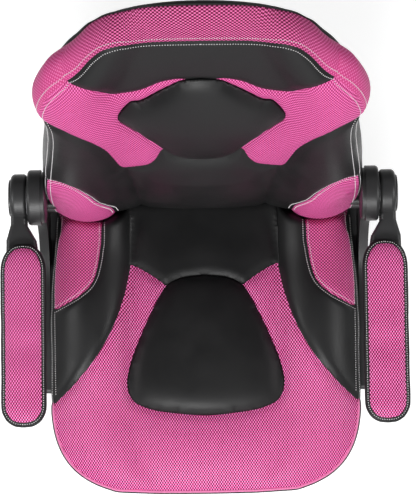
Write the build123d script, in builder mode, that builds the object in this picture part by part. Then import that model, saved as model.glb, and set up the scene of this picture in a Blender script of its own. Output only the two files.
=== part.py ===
"""A swivel gaming chair with flip-up arms, in millimetres.

The origin is on the floor, on the swivel axis. +Z is up, -Y is the front of the seat and +X is the
sitter's left. Every piece is written as its own STEP file, at its place on the chair at rest: column
fully down, seat upright, arms down.
"""

import os
from math import cos, radians, sin, tan

from build123d import *

# Clearances
running_gap = 0.05  # radial, a shaft that turns in its hole
slack = 0.3  # between pieces that lie close without touching
side_play = 0.2  # on each side of a pivot washer

# Casters
caster_count = 5
wheel_radius = 25.0
wheel_width = 18.0
web_width = 10.0  # the hood's wall between the two wheels
wheel_play = 1.0  # wheel to web
axle_radius = 3.0
caster_trail = 20.0  # stem axis to axle
caster_height = 62.0  # floor to the underside of a leg
hood_wall = 2.5
hood_play = 1.5  # wheel tread to hood
hood_open = 16.0  # height of the hood's lower edge
stem_radius = 5.5
stem_grip = 24.0  # length of stem inside the leg
stem_seat = 12.0  # length of stem inside the hood
boss_wall = 3.0
caster_turn = 60.0  # how far each caster stands turned from its leg, in degrees

# Star base
base_reach = 290.0  # swivel axis to caster stem
hub_radius = 40.0
hub_bottom = 72.0
hub_height = 62.0
leg_root_width = 46.0
leg_tip_width = 31.0
leg_root_height = 46.0
leg_tip_height = 27.0
leg_wall = 4.0
leg_boss_radius = 15.0
leg_arch = 9.0  # rise of the leg's middle above a straight line

# Gas lift
lift_stroke = 100.0
tube_radius = 25.0
tube_wall = 1.8
tube_bottom = 58.0
tube_length = 210.0
tube_floor = 3.0
bush_length = 60.0
bush_flange = 3.0
column_radius = 14.0
column_wall = 3.0
column_bottom = 84.0
column_top = 335.0
column_cap = 8.0
column_head = 13.0
rod_radius = 5.0
rod_gap = 0.2
piston_length = 10.0
piston_rest = 4.0  # piston to the end of its bore, column down
bearing_height = 8.0
bearing_radius = 14.0
shoulder_radius = 9.0
shoulder_height = 4.0
clip_height = 2.0
pin_radius = 3.5
pin_stand = 7.2  # release pin above the column
pin_sink = 11.0  # release pin inside the column

# Telescopic cover over the lift
cover_wall = 1.6
cover_step = 0.8  # gap between two cover tubes
cover_bore = 27.0
cover_overlap = 6.0  # left between two tubes, column up
cover_collar = 5.0

# Tilt mechanism
housing_width = 96.0
housing_wall = 3.0
housing_floor = 300.0
housing_front = -128.0
housing_rear = 75.0
housing_height = 50.0
housing_tail_height = 26.0  # height of the side walls at the rear
socket_radius = 19.0
socket_height = 33.0
tilt_y = -40.0
tilt_z = 340.0
tilt_pin_radius = 5.0
tilt_head_radius = 7.5
tilt_head_height = 3.0
ear_length = 44.0
ear_drop = 14.0  # ear below the tilt axis
plate_bottom = 368.0
plate_thickness = 3.0
plate_width = 200.0
plate_length = 270.0
plate_bolts_x = 152.0
plate_bolts_y = 200.0

# Tilt spring and its knob
tension_y = -95.0
tension_radius = 5.0
tension_end = 236.0
tension_slot_width = 16.0
tension_slot_length = 40.0
spring_radius = 13.0
spring_wire = 4.0
spring_turns = 5
knob_radius = 26.0
knob_bottom = 230.0
knob_top = 272.0
knob_wall = 4.0
knob_floor = 24.0
knob_flutes = 12
flute_radius = 3.5

# Height lever
lever_z = 347.0
lever_radius = 4.0
lever_inner = 14.0
lever_reach = 238.0
lever_bend_x = 80.0
lever_forward = 60.0
lever_drop = 22.0
lever_bend_radius = 30.0
trunnion_radius = 1.5
lever_bush_length = 18.0
lever_bush_size = 14.0
lever_slot_height = 11.0
lever_slot_gap = 0.4
handle_length = 70.0
handle_width = 26.0
handle_thickness = 11.0
handle_grip = 18.0  # length of rod inside the handle

# Seat
board_thickness = 12.0
board_width = 450.0
board_front = -272.0
board_rear = 140.0
board_front_corner = 150.0
board_rear_corner = 40.0
seat_half_width = 267.0
seat_front = -339.0
seat_rear = 158.0
seat_front_round = 200.0  # length of the rounded front in plan
seat_round_power = 3.3
seat_taper_start = 0.0
seat_rear_taper = 15.0
seat_taper_power = 1.6
seat_skirt_inset = 12.0
seat_edge_z = 441.0
seat_crown_z = 455.0
seat_nose_z = 425.0
bolster_z = 486.0
bolster_inner = 128.0  # half distance between the bolsters' inner seams
pad_rise = 12.0
seat_pad_front = -192.0
seat_pad_rear = 38.0
seat_pad_front_width = 262.0
seat_pad_flank = 74.0  # slope of the pad's sides in plan, in degrees
seat_pad_corner = 30.0
dust_cover_thickness = 1.0
dust_cover_inset = 14.0

# Fasteners
bolt_radius = 4.0
bolt_head_radius = 6.5
bolt_head_height = 5.5
bolt_hole_gap = 0.3
tee_flange_radius = 10.0
tee_flange = 1.5
tee_barrel_radius = 5.2

# Back
back_lean = 13.2  # degrees from upright
back_foot_y = 205.0
back_foot_z = 405.0
back_length = 768.0
back_half_width = 252.0
wing_half_width = 257.0
back_board_thickness = 12.0
back_board_half_width = 180.0
back_board_length = 626.0
back_board_start = 14.0
rear_cover_depth = 28.0
rear_cover_edge = 14.0
lumbar_depth = 95.0
back_pad_half_width = 128.0
back_pad_low = 376.0
back_pad_high = 614.0
back_pad_rise = 22.0
back_pad_lip = 3.0  # height of the pad's edge above the cushion
back_pad_sink = 16.0  # depth of the pad's foot in the cushion

# Side brackets
bracket_x = 268.5
bracket_thickness = 16.0
bracket_ledge = 34.0  # width of the ledge that runs under the seat's edge
bracket_front = -160.0
bracket_bar_z = 390.0
bracket_bar_height = 22.0
bracket_bar_slope = 8.0
bracket_upright_width = 56.0
bracket_bend = 42.0
bracket_sweep = 110.0  # radius of the curve from the bar up into the upright
foot_thickness = 6.0
foot_width = 44.0
foot_inner = 185.0
foot_front_y = -118.0
foot_rear_y = 88.0
foot_bolt_x = 206.0
side_bolt_y = 156.0
side_bolt_low = 484.0
side_bolt_pitch = 62.0
side_plate_x = 212.0
side_plate_thickness = 4.0
side_plate_front = 140.0
side_plate_margin = 24.0
side_plate_flange = 60.0
spacer_radius = 8.0

# Flip-up arms
pivot_y = 160.0
pivot_z = 612.0
pivot_radius = 46.0
pivot_boss = 7.0  # thickness of the pivot head on the bracket's inner side
pivot_depth = 22.0  # thickness of the bracket's pivot head
pivot_rounding = 8.0
washer_thickness = 1.6
washer_radius = 30.0
arm_head_radius = 39.5
arm_head_width = 26.0
arm_head_rounding = 8.0
arm_inner_rounding = 5.0
arm_bolt_radius = 5.0
arm_bolt_head = 9.0
arm_bolt_head_height = 6.0
arm_cap_thickness = 2.0  # depth of the cap's plug
arm_cap_radius = 30.5
arm_cap_rise = 3.0
arm_centre_x = 297.5
arm_pad_width = 73.0
arm_pad_front = -220.0
arm_pad_rear = 80.0
arm_pad_thickness = 25.0
arm_pad_crown = 5.0
arm_pad_front_round = 36.0
arm_pad_rear_round = 46.0
arm_tray_z = 622.0
arm_tray_thickness = 11.0
arm_tray_inset = 4.0
arm_neck_y = 114.0
arm_flare_y = 88.0
arm_neck_height = 42.0

# Places that follow from the sizes above
wheel_inner = web_width / 2 + wheel_play
wheel_outer = wheel_inner + wheel_width
hood_inner_radius = wheel_radius + hood_play
hood_radius = hood_inner_radius + hood_wall
hub_top = hub_bottom + hub_height
tube_top = tube_bottom + tube_length
housing_half = housing_width / 2
housing_top = housing_floor + housing_height
housing_tail = housing_floor + housing_tail_height
plate_top = plate_bottom + plate_thickness
board_top = plate_top + board_thickness
lean_sin = sin(radians(back_lean))
lean_cos = cos(radians(back_lean))
arm_head_x = bracket_x + pivot_depth + washer_thickness + 2 * side_play
arm_tray_top = arm_tray_z + arm_tray_thickness
lever_pivot_x = housing_half
foot_ys = (foot_front_y, foot_rear_y)
side_bolt_zs = (side_bolt_low, side_bolt_low + side_bolt_pitch)
pieces = {}


def leaning_plane(along):
    """The cross-section plane of the back at a distance up the back board, its y pointing rearwards."""
    origin = (0, back_foot_y + along * lean_sin, back_foot_z + along * lean_cos)
    return Plane(origin=origin, x_dir=(1, 0, 0), z_dir=(0, lean_sin, lean_cos))


def front_plane(depth=0):
    """The plane of the back board's front face, moved forwards by a depth, its y pointing up the back."""
    origin = (0, back_foot_y - depth * lean_cos, back_foot_z + depth * lean_sin)
    return Plane(origin=origin, x_dir=(1, 0, 0), z_dir=(0, -lean_cos, lean_sin))


def across(y, x=0):
    """The upright plane across the chair at y, with its origin at x and its own y pointing up."""
    return Plane(origin=(x, y, 0), x_dir=(1, 0, 0), z_dir=(0, -1, 0))


def mirrored(part):
    """The same piece on the other side of the chair."""
    with BuildPart() as other:
        mirror(part, about=Plane.YZ)
    return other.part


def both_sides(part):
    """The piece and its mirror image, as one node."""
    with BuildPart() as pair:
        add(part)
        mirror(part, about=Plane.YZ)
    return pair.part


def board_outline(grow):
    """The seat board's outline, grown all round: wide curves at the front, small ones at the rear."""
    with BuildSketch() as outline:
        with Locations((0, (board_rear + board_front) / 2)):
            Rectangle(board_width + 2 * grow, board_rear - board_front + 2 * grow)
        fillet(outline.vertices().group_by(Axis.Y)[0], board_front_corner + grow)
        fillet(outline.vertices().group_by(Axis.Y)[-1], board_rear_corner + grow)
    return outline.sketch


# Casters: a hood with a web between the wheels, its stem, and two wheels on one axle

with BuildPart() as caster_hood:
    with BuildSketch(Plane.XZ):
        with Locations((caster_trail, wheel_radius)):
            Circle(hood_radius)
    extrude(amount=wheel_outer, both=True)
    with BuildSketch(Plane.XY.offset(wheel_radius)):
        Circle(stem_radius + boss_wall)
    extrude(amount=caster_height - slack - wheel_radius)
    for side in (1, -1):
        with BuildSketch(Plane.XZ.offset(side * web_width / 2)):
            with Locations((caster_trail, wheel_radius)):
                Circle(hood_inner_radius)
        extrude(amount=side * (wheel_outer + hood_wall), mode=Mode.SUBTRACT)
    with BuildSketch(Plane.XY.offset(-hood_radius)):
        with Locations((caster_trail, 0)):
            Rectangle(4 * hood_radius, 4 * hood_radius)
    extrude(amount=hood_radius + hood_open, mode=Mode.SUBTRACT)
    with BuildSketch(Plane.XZ):
        with Locations((caster_trail, wheel_radius)):
            Circle(axle_radius + running_gap)
    extrude(amount=wheel_outer, both=True, mode=Mode.SUBTRACT)
    with BuildSketch(Plane.XY.offset(caster_height - slack - stem_seat)):
        Circle(stem_radius)
    extrude(amount=stem_seat, mode=Mode.SUBTRACT)

with BuildPart() as caster_stem:
    with BuildSketch(Plane.XY.offset(caster_height - slack - stem_seat)):
        Circle(stem_radius)
    extrude(amount=stem_seat + slack + stem_grip)
    chamfer(caster_stem.edges().group_by(Axis.Z)[-1], stem_radius / 5)

axle_half = wheel_outer - wheel_play
with BuildPart() as caster_wheels:
    for side in (1, -1):
        with BuildSketch(Plane.XZ.offset(side * wheel_inner)):
            with Locations((caster_trail, wheel_radius)):
                Circle(wheel_radius)
        extrude(amount=side * wheel_width)
    fillet(caster_wheels.edges().filter_by(GeomType.CIRCLE), wheel_width / 6)
    with BuildSketch(Plane.XZ):
        with Locations((caster_trail, wheel_radius)):
            Circle(axle_radius)
    extrude(amount=axle_half, both=True)

for number in range(1, caster_count + 1):
    leg_angle = 90 + 360 / caster_count * (number - 1)
    place = Pos(base_reach * cos(radians(leg_angle)), base_reach * sin(radians(leg_angle)), 0)
    turned = place * Rot(0, 0, leg_angle + caster_turn)
    pieces[f"caster_hood_{number}"] = turned * caster_hood.part
    pieces[f"caster_stem_{number}"] = turned * caster_stem.part
    pieces[f"caster_wheels_{number}"] = turned * caster_wheels.part

# Star base: a hub, arched legs hollow underneath, and a socket for each caster at the tips

leg_stations = [
    (0.8 * hub_radius, leg_root_width, leg_root_height, hub_bottom + hub_height / 2),
    (
        base_reach / 2,
        (leg_root_width + leg_tip_width) / 2,
        (leg_root_height + leg_tip_height) / 2,
        (hub_bottom + hub_height / 2 + caster_height + leg_tip_height / 2) / 2 + leg_arch,
    ),
    (base_reach, leg_tip_width, leg_tip_height, caster_height + leg_tip_height / 2),
]
with BuildPart() as leg:
    for reach, width, height, middle in leg_stations:
        with BuildSketch(across(reach)):
            with Locations((0, middle)):
                RectangleRounded(width, height, height / 4)
    loft()
with BuildPart() as leg_hollow:
    for reach, width, height, middle in leg_stations:
        with BuildSketch(across(reach)):
            with Locations((0, middle - leg_wall - height / 4)):
                Rectangle(width - 2 * leg_wall, 1.5 * height)
    loft()
    with BuildSketch(across(base_reach)):
        Rectangle(4 * leg_boss_radius, 4 * hub_top)
    extrude(amount=leg_boss_radius, mode=Mode.SUBTRACT)
    with BuildSketch(across(0)):
        Rectangle(4 * hub_radius, 4 * hub_top)
    extrude(amount=-leg_wall - hub_radius, mode=Mode.SUBTRACT)
with BuildPart() as base_star:
    with BuildSketch(Plane.XY.offset(hub_bottom)):
        Circle(hub_radius)
    extrude(amount=hub_height)
    chamfer(base_star.faces().sort_by(Axis.Z)[-1].edges(), leg_wall / 2)
    for number in range(caster_count):
        add(leg.part, rotation=(0, 0, 360 / caster_count * number))
    for number in range(caster_count):
        add(leg_hollow.part, rotation=(0, 0, 360 / caster_count * number), mode=Mode.SUBTRACT)
    with BuildSketch(Plane.XY.offset(caster_height)):
        with PolarLocations(base_reach, caster_count, start_angle=90):
            Circle(leg_boss_radius)
    extrude(amount=stem_grip + leg_wall)
    with BuildSketch(Plane.XY.offset(caster_height)):
        with PolarLocations(base_reach, caster_count, start_angle=90):
            Circle(stem_radius + running_gap)
    extrude(amount=stem_grip + slack, mode=Mode.SUBTRACT)
    with BuildSketch(Plane.XY.offset(hub_bottom)):
        Circle(tube_radius)
    extrude(amount=hub_height, mode=Mode.SUBTRACT)
pieces["base_star"] = base_star.part

# Gas lift: outer tube in the hub, guide bush, thrust bearing, piston rod, and the column on the piston

tube_bore = tube_radius - tube_wall
with BuildPart() as lift_outer_tube:
    with BuildSketch(Plane.XY.offset(tube_bottom)):
        Circle(tube_radius)
    extrude(amount=tube_length)
    with BuildSketch(Plane.XY.offset(tube_bottom + tube_floor)):
        Circle(tube_bore)
    extrude(amount=tube_length, mode=Mode.SUBTRACT)
    with BuildSketch(Plane.XY.offset(tube_bottom)):
        Circle(rod_radius + rod_gap)
    extrude(amount=tube_floor, mode=Mode.SUBTRACT)
pieces["lift_outer_tube"] = lift_outer_tube.part

with BuildPart() as lift_guide_bush:
    with BuildSketch(Plane.XY.offset(tube_top - bush_length)):
        Circle(tube_bore)
    extrude(amount=bush_length)
    with BuildSketch(Plane.XY.offset(tube_top)):
        Circle(tube_radius)
    extrude(amount=bush_flange)
    with BuildSketch(Plane.XY.offset(tube_top - bush_length)):
        Circle(column_radius + running_gap)
    extrude(amount=bush_length + bush_flange, mode=Mode.SUBTRACT)
pieces["lift_guide_bush"] = lift_guide_bush.part

bearing_bottom = tube_bottom + tube_floor
with BuildPart() as lift_thrust_bearing:
    with BuildSketch(Plane.XY.offset(bearing_bottom)):
        Circle(bearing_radius)
        Circle(rod_radius + rod_gap, mode=Mode.SUBTRACT)
    extrude(amount=bearing_height)
pieces["lift_thrust_bearing"] = lift_thrust_bearing.part

column_bore = column_radius - column_wall
shoulder_bottom = bearing_bottom + bearing_height
piston_top = column_top - column_head - piston_rest
clip_bottom = tube_bottom - clip_height - slack
with BuildPart() as lift_piston_rod:
    with BuildSketch(Plane.XY.offset(clip_bottom - clip_height)):
        Circle(rod_radius)
    extrude(until=None, amount=piston_top - clip_bottom + clip_height)
    with BuildSketch(Plane.XY.offset(shoulder_bottom)):
        Circle(shoulder_radius)
    extrude(amount=shoulder_height)
    with BuildSketch(Plane.XY.offset(clip_bottom)):
        Circle(shoulder_radius)
    extrude(amount=clip_height)
    with BuildSketch(Plane.XY.offset(piston_top - piston_length)):
        Circle(column_bore - running_gap)
    extrude(amount=piston_length)
pieces["lift_piston_rod"] = lift_piston_rod.part

with BuildPart() as lift_inner_column:
    with BuildSketch(Plane.XY.offset(column_bottom)):
        Circle(column_radius)
    extrude(amount=column_top - column_bottom)
    with BuildSketch(Plane.XY.offset(column_bottom + column_cap)):
        Circle(column_bore)
    extrude(amount=column_top - column_head - column_bottom - column_cap, mode=Mode.SUBTRACT)
    with BuildSketch(Plane.XY.offset(column_bottom)):
        Circle(rod_radius + running_gap)
    extrude(amount=column_cap, mode=Mode.SUBTRACT)
    with BuildSketch(Plane.XY.offset(column_top - column_head)):
        Circle(pin_radius + running_gap)
    extrude(amount=column_head, mode=Mode.SUBTRACT)
pieces["lift_inner_column"] = lift_inner_column.part

with BuildPart() as lift_release_pin:
    with BuildSketch(Plane.XY.offset(column_top - pin_sink)):
        Circle(pin_radius)
    extrude(amount=pin_sink + pin_stand)
    chamfer(lift_release_pin.edges().group_by(Axis.Z)[-1], pin_radius / 4)
pieces["lift_release_pin"] = lift_release_pin.part

# Telescopic cover: the lower tube stands on the hub and the upper one hangs under the mechanism

cover_span = housing_floor - hub_top
cover_length = (cover_span + lift_stroke + 2 * cover_overlap) / 3
cover_pitch = cover_wall + cover_step
cover_stages = {
    "cover_upper": (cover_bore, housing_floor - cover_length),
    "cover_middle": (cover_bore + cover_pitch, hub_top + (cover_span - cover_length) / 2),
    "cover_lower": (cover_bore + 2 * cover_pitch, hub_top),
}
for cover_name, (bore, bottom) in cover_stages.items():
    with BuildPart() as cover:
        with BuildSketch(Plane.XY.offset(bottom)):
            Circle(bore + cover_wall)
        extrude(amount=cover_length)
        if cover_name == "cover_lower":
            with BuildSketch(Plane.XY.offset(bottom)):
                Circle(bore + 2 * cover_wall)
            extrude(amount=cover_collar)
        with BuildSketch(Plane.XY.offset(bottom)):
            Circle(bore)
        extrude(amount=cover_length, mode=Mode.SUBTRACT)
    pieces[cover_name] = cover.part

# Tilt mechanism: a pressed housing on the column, and the seat plate that rocks on its pin

housing_length = housing_rear - housing_front
housing_middle = (housing_rear + housing_front) / 2
with BuildPart() as mechanism_housing:
    with BuildSketch(Plane.YZ.offset(-housing_half)):
        with BuildLine():
            Polyline(
                (housing_front, housing_floor),
                (housing_front, housing_top),
                (0, housing_top),
                (housing_rear, housing_tail),
                (housing_rear, housing_floor),
                close=True,
            )
        make_face()
    extrude(amount=housing_width)
    with BuildSketch(Plane.XY.offset(housing_floor + housing_wall)):
        with Locations((0, housing_middle)):
            Rectangle(housing_width - 2 * housing_wall, housing_length - 2 * housing_wall)
    extrude(amount=housing_top, mode=Mode.SUBTRACT)
    with BuildSketch(Plane.XY.offset(housing_floor)):
        Circle(socket_radius)
    extrude(amount=socket_height)
    with BuildSketch(Plane.XY.offset(housing_floor)):
        Circle(column_radius)
    extrude(amount=socket_height, mode=Mode.SUBTRACT)
    with BuildSketch(Plane.XY.offset(housing_floor)):
        with Locations((0, tension_y - tension_radius)):
            SlotOverall(tension_slot_length, tension_slot_width, rotation=90)
    extrude(amount=housing_wall, mode=Mode.SUBTRACT)
    with BuildSketch(Plane.YZ.offset(-housing_half)):
        with Locations((tilt_y, tilt_z)):
            Circle(tilt_pin_radius)
    extrude(amount=housing_width, mode=Mode.SUBTRACT)
    with BuildSketch(Plane.YZ.offset(-housing_half)):
        with Locations((0, lever_z)):
            Rectangle(lever_bush_size + 2 * lever_slot_gap, lever_bush_size + 2 * lever_slot_gap)
    extrude(amount=housing_wall, mode=Mode.SUBTRACT)
pieces["mechanism_housing"] = mechanism_housing.part

ear_inner = housing_half + slack
with BuildPart() as seat_plate:
    with BuildSketch(Plane.XY.offset(plate_bottom)):
        RectangleRounded(plate_width, plate_length, plate_width / 10)
    extrude(amount=plate_thickness)
    for side in (1, -1):
        with BuildSketch(Plane.YZ.offset(side * ear_inner)):
            with Locations((tilt_y, (plate_bottom + tilt_z - ear_drop) / 2)):
                Rectangle(ear_length, plate_bottom - tilt_z + ear_drop)
        extrude(amount=side * plate_thickness)
    with BuildSketch(Plane.YZ.offset(-plate_width)):
        with Locations((tilt_y, tilt_z)):
            Circle(tilt_pin_radius + running_gap)
    extrude(amount=2 * plate_width, mode=Mode.SUBTRACT)
    with BuildSketch(Plane.XY.offset(plate_bottom)):
        with GridLocations(plate_bolts_x, plate_bolts_y, 2, 2):
            Circle(bolt_radius + bolt_hole_gap)
    extrude(amount=plate_thickness, mode=Mode.SUBTRACT)
    with BuildSketch(Plane.XY.offset(plate_bottom)):
        with Locations((0, tension_y)):
            Circle(tension_radius)
    extrude(amount=plate_thickness, mode=Mode.SUBTRACT)
pieces["seat_plate"] = seat_plate.part

tilt_pin_half = ear_inner + plate_thickness + slack
with BuildPart() as tilt_pin:
    with BuildSketch(Plane.YZ):
        with Locations((tilt_y, tilt_z)):
            Circle(tilt_pin_radius)
    extrude(amount=tilt_pin_half, both=True)
    for side in (1, -1):
        with BuildSketch(Plane.YZ.offset(side * tilt_pin_half)):
            with Locations((tilt_y, tilt_z)):
                Circle(tilt_head_radius)
        extrude(amount=side * tilt_head_height)
pieces["tilt_pin"] = tilt_pin.part

# Tilt spring, with the bolt that pulls on it and the knob that sets its tension

with BuildPart() as tension_bolt:
    with BuildSketch(Plane.XY.offset(tension_end)):
        with Locations((0, tension_y)):
            Circle(tension_radius)
    extrude(amount=plate_top - tension_end)
pieces["tension_bolt"] = tension_bolt.part

spring_seat = knob_bottom + knob_floor
spring_height = housing_floor - spring_seat - spring_wire - 2 * slack
spring_pitch = spring_height / spring_turns
print("tilt spring, least gap between turns", round(spring_pitch - spring_wire, 2), "mm")
with BuildPart() as tilt_spring:
    with BuildLine() as spring_path:
        Helix(spring_pitch, spring_height, spring_radius,
              center=(0, tension_y, spring_seat + spring_wire / 2 + slack))
    with BuildSketch(Plane(origin=spring_path.line @ 0, z_dir=spring_path.line % 0)):
        Circle(spring_wire / 2)
    sweep(is_frenet=True)
pieces["tilt_spring"] = tilt_spring.part

with BuildPart() as tension_knob:
    with BuildSketch(Plane.XY.offset(knob_bottom)):
        with Locations((0, tension_y)):
            Circle(knob_radius)
        with Locations((0, tension_y)):
            with PolarLocations(knob_radius + flute_radius / 2, knob_flutes):
                Circle(flute_radius, mode=Mode.SUBTRACT)
    extrude(amount=knob_top - knob_bottom)
    with BuildSketch(Plane.XY.offset(spring_seat)):
        with Locations((0, tension_y)):
            Circle(knob_radius - flute_radius - knob_wall)
    extrude(amount=knob_top - spring_seat, mode=Mode.SUBTRACT)
    with BuildSketch(Plane.XY.offset(tension_end - slack)):
        with Locations((0, tension_y)):
            Circle(tension_radius + running_gap)
    extrude(amount=knob_top - tension_end, mode=Mode.SUBTRACT)
pieces["tension_knob"] = tension_knob.part

# Height lever: it rocks on trunnions in a bush, and the bush slides out sideways to free the tilt

with BuildPart() as lever_bush:
    with BuildSketch(Plane.YZ.offset(-lever_pivot_x - lever_bush_length / 2)):
        with Locations((0, lever_z)):
            RectangleRounded(lever_bush_size, lever_bush_size, lever_bush_size / 7)
            Rectangle(2 * lever_radius + 2 * lever_slot_gap, lever_slot_height, mode=Mode.SUBTRACT)
    extrude(amount=lever_bush_length)
    with BuildSketch(Plane.XZ.offset(-lever_bush_size / 2)):
        with Locations((-lever_pivot_x, lever_z)):
            Circle(trunnion_radius + running_gap)
    extrude(amount=lever_bush_size, mode=Mode.SUBTRACT)
pieces["lever_bush"] = lever_bush.part

lever_end = (-lever_reach, -lever_forward, lever_z - lever_drop)
lever_elbow = (-lever_bend_x, 0, lever_z)
with BuildPart() as lever_rod:
    with BuildLine() as lever_path:
        FilletPolyline((lever_inner, 0, lever_z), lever_elbow, lever_end, radius=lever_bend_radius)
    with BuildSketch(Plane(origin=lever_path.line @ 0, z_dir=lever_path.line % 0)):
        Circle(lever_radius)
    sweep()
    with BuildSketch(Plane.XZ.offset(-lever_bush_size / 2 + slack)):
        with Locations((-lever_pivot_x, lever_z)):
            Circle(trunnion_radius)
    extrude(amount=lever_bush_size - 2 * slack)
pieces["lever_rod"] = lever_rod.part

lever_way = (Vector(*lever_end) - Vector(*lever_elbow)).normalized()
handle_start = Vector(*lever_end) - lever_way * handle_grip
handle_plane = Plane(origin=handle_start, x_dir=lever_way, z_dir=(0, 0, 1))
with BuildPart() as lever_handle:
    with BuildSketch(Plane(origin=handle_start, z_dir=lever_way)):
        Circle(handle_thickness / 2)
    with BuildSketch(Plane(origin=handle_start + lever_way * handle_length, z_dir=lever_way)):
        Ellipse(handle_thickness / 2, handle_width / 2)
    loft()
    with BuildSketch(Plane(origin=handle_start, z_dir=lever_way)):
        Circle(lever_radius)
    extrude(amount=handle_grip, mode=Mode.SUBTRACT)
pieces["lever_handle"] = lever_handle.part

# Seat board, its cloth underside, and the bolts and tee nuts that hold the plate and the brackets

foot_spots = [(side * foot_bolt_x, y) for side in (1, -1) for y in foot_ys]
with BuildPart() as seat_board:
    with BuildSketch(Plane.XY.offset(plate_top)):
        add(board_outline(0))
    extrude(amount=board_thickness)
    with BuildSketch(Plane.XY.offset(plate_top)):
        with GridLocations(plate_bolts_x, plate_bolts_y, 2, 2):
            Circle(tee_barrel_radius)
        with Locations(*foot_spots):
            Circle(tee_barrel_radius)
    extrude(amount=board_thickness, mode=Mode.SUBTRACT)
pieces["seat_board"] = seat_board.part

foot_run = bracket_x - foot_inner
with BuildPart() as seat_dust_cover:
    with BuildSketch(Plane.XY.offset(plate_top - dust_cover_thickness)):
        add(board_outline(-dust_cover_inset))
        Rectangle(plate_width + 4 * slack, plate_length + 4 * slack, mode=Mode.SUBTRACT)
        with Locations(*[(side * (foot_inner + foot_run / 2), y) for side in (1, -1) for y in foot_ys]):
            Rectangle(foot_run + 4 * slack, foot_width + 4 * slack, mode=Mode.SUBTRACT)
    extrude(amount=dust_cover_thickness)
pieces["seat_dust_cover"] = seat_dust_cover.part

with BuildPart() as seat_tee_nuts:
    for bottom, height, radius in (
        (plate_top, board_thickness, tee_barrel_radius),
        (board_top, tee_flange, tee_flange_radius),
    ):
        with BuildSketch(Plane.XY.offset(bottom)):
            with GridLocations(plate_bolts_x, plate_bolts_y, 2, 2):
                Circle(radius)
            with Locations(*foot_spots):
                Circle(radius)
        extrude(amount=height)
    with BuildSketch(Plane.XY.offset(plate_top)):
        with GridLocations(plate_bolts_x, plate_bolts_y, 2, 2):
            Circle(bolt_radius)
        with Locations(*foot_spots):
            Circle(bolt_radius)
    extrude(amount=board_thickness, mode=Mode.SUBTRACT)
pieces["seat_tee_nuts"] = seat_tee_nuts.part

with BuildPart() as seat_bolts:
    with BuildSketch(Plane.XY.offset(plate_bottom - bolt_head_height)):
        with GridLocations(plate_bolts_x, plate_bolts_y, 2, 2):
            RegularPolygon(bolt_head_radius, 6)
    extrude(amount=bolt_head_height)
    with BuildSketch(Plane.XY.offset(plate_bottom)):
        with GridLocations(plate_bolts_x, plate_bolts_y, 2, 2):
            Circle(bolt_radius)
    extrude(amount=board_top - plate_bottom)
pieces["seat_bolts"] = seat_bolts.part

foot_bottom = plate_top - foot_thickness
with BuildPart() as seat_side_bolts:
    with BuildSketch(Plane.XY.offset(foot_bottom - bolt_head_height)):
        with Locations(*foot_spots):
            RegularPolygon(bolt_head_radius, 6)
    extrude(amount=bolt_head_height)
    with BuildSketch(Plane.XY.offset(foot_bottom)):
        with Locations(*foot_spots):
            Circle(bolt_radius)
    extrude(amount=board_top - foot_bottom)
pieces["seat_side_bolts"] = seat_side_bolts.part

# Back board, with the steel side plates that the brackets bolt to

with BuildPart() as back_board:
    with BuildSketch(front_plane(-slack)):
        with Locations((0, back_board_start + back_board_length / 2)):
            RectangleRounded(2 * back_board_half_width, back_board_length, back_board_half_width / 2)
    extrude(amount=-back_board_thickness)
pieces["back_board"] = back_board.part

plate_low = side_bolt_low - side_plate_margin
plate_high = side_bolt_low + side_bolt_pitch + side_plate_margin
plate_rear = back_foot_y + (plate_low - back_foot_z) * tan(radians(back_lean)) - 2 * side_plate_thickness
with BuildPart() as side_plate:
    with BuildSketch(Plane.YZ.offset(side_plate_x)):
        with Locations(((side_plate_front + plate_rear) / 2, (plate_low + plate_high) / 2)):
            Rectangle(plate_rear - side_plate_front, plate_high - plate_low)
    extrude(amount=side_plate_thickness)
    with BuildSketch(across(plate_rear)):
        with Locations((side_plate_x + side_plate_thickness - side_plate_flange / 2,
                        (plate_low + plate_high) / 2)):
            Rectangle(side_plate_flange, plate_high - plate_low)
    extrude(amount=side_plate_thickness)
    with BuildSketch(Plane.YZ.offset(side_plate_x)):
        with Locations(*[(side_bolt_y, z) for z in side_bolt_zs]):
            Circle(bolt_radius)
    extrude(amount=side_plate_thickness, mode=Mode.SUBTRACT)
pieces["back_side_plates"] = both_sides(side_plate.part)

# Back cushion: lumbar crown between the side bolsters, and wings at the shoulders

# Places up the back, each with half width, the rear edge's share of it, depth of the middle and depth of the sides
back_stations = [
    (0.0, 0.985 * back_half_width, 0.93, 0.50 * lumbar_depth, 0.66 * lumbar_depth),
    (0.078 * back_length, 1.018 * back_half_width, 0.93, 0.66 * lumbar_depth, 0.95 * lumbar_depth),
    (0.206 * back_length, 1.03 * back_half_width, 0.93, 0.92 * lumbar_depth, 1.15 * lumbar_depth),
    (0.362 * back_length, 1.006 * back_half_width, 0.93, lumbar_depth, 1.19 * lumbar_depth),
    (0.52 * back_length, back_half_width, 0.93, 0.92 * lumbar_depth, 1.15 * lumbar_depth),
    (0.656 * back_length, 1.005 * back_half_width, 0.945, 0.77 * lumbar_depth, 1.06 * lumbar_depth),
    (0.7135 * back_length, wing_half_width, 0.87, 0.68 * lumbar_depth, 1.00 * lumbar_depth),
    (0.768 * back_length, 0.973 * wing_half_width, 0.81, 0.61 * lumbar_depth, 0.93 * lumbar_depth),
    (0.846 * back_length, 0.825 * wing_half_width, 0.81, 0.49 * lumbar_depth, 0.76 * lumbar_depth),
    (0.901 * back_length, 0.712 * wing_half_width, 0.85, 0.42 * lumbar_depth, 0.60 * lumbar_depth),
    (0.948 * back_length, 0.603 * wing_half_width, 0.835, 0.35 * lumbar_depth, 0.45 * lumbar_depth),
    (0.979 * back_length, 0.459 * wing_half_width, 0.80, 0.25 * lumbar_depth, 0.30 * lumbar_depth),
    (back_length, 0.233 * wing_half_width, 0.90, 0.15 * lumbar_depth, 0.17 * lumbar_depth),
]


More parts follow.
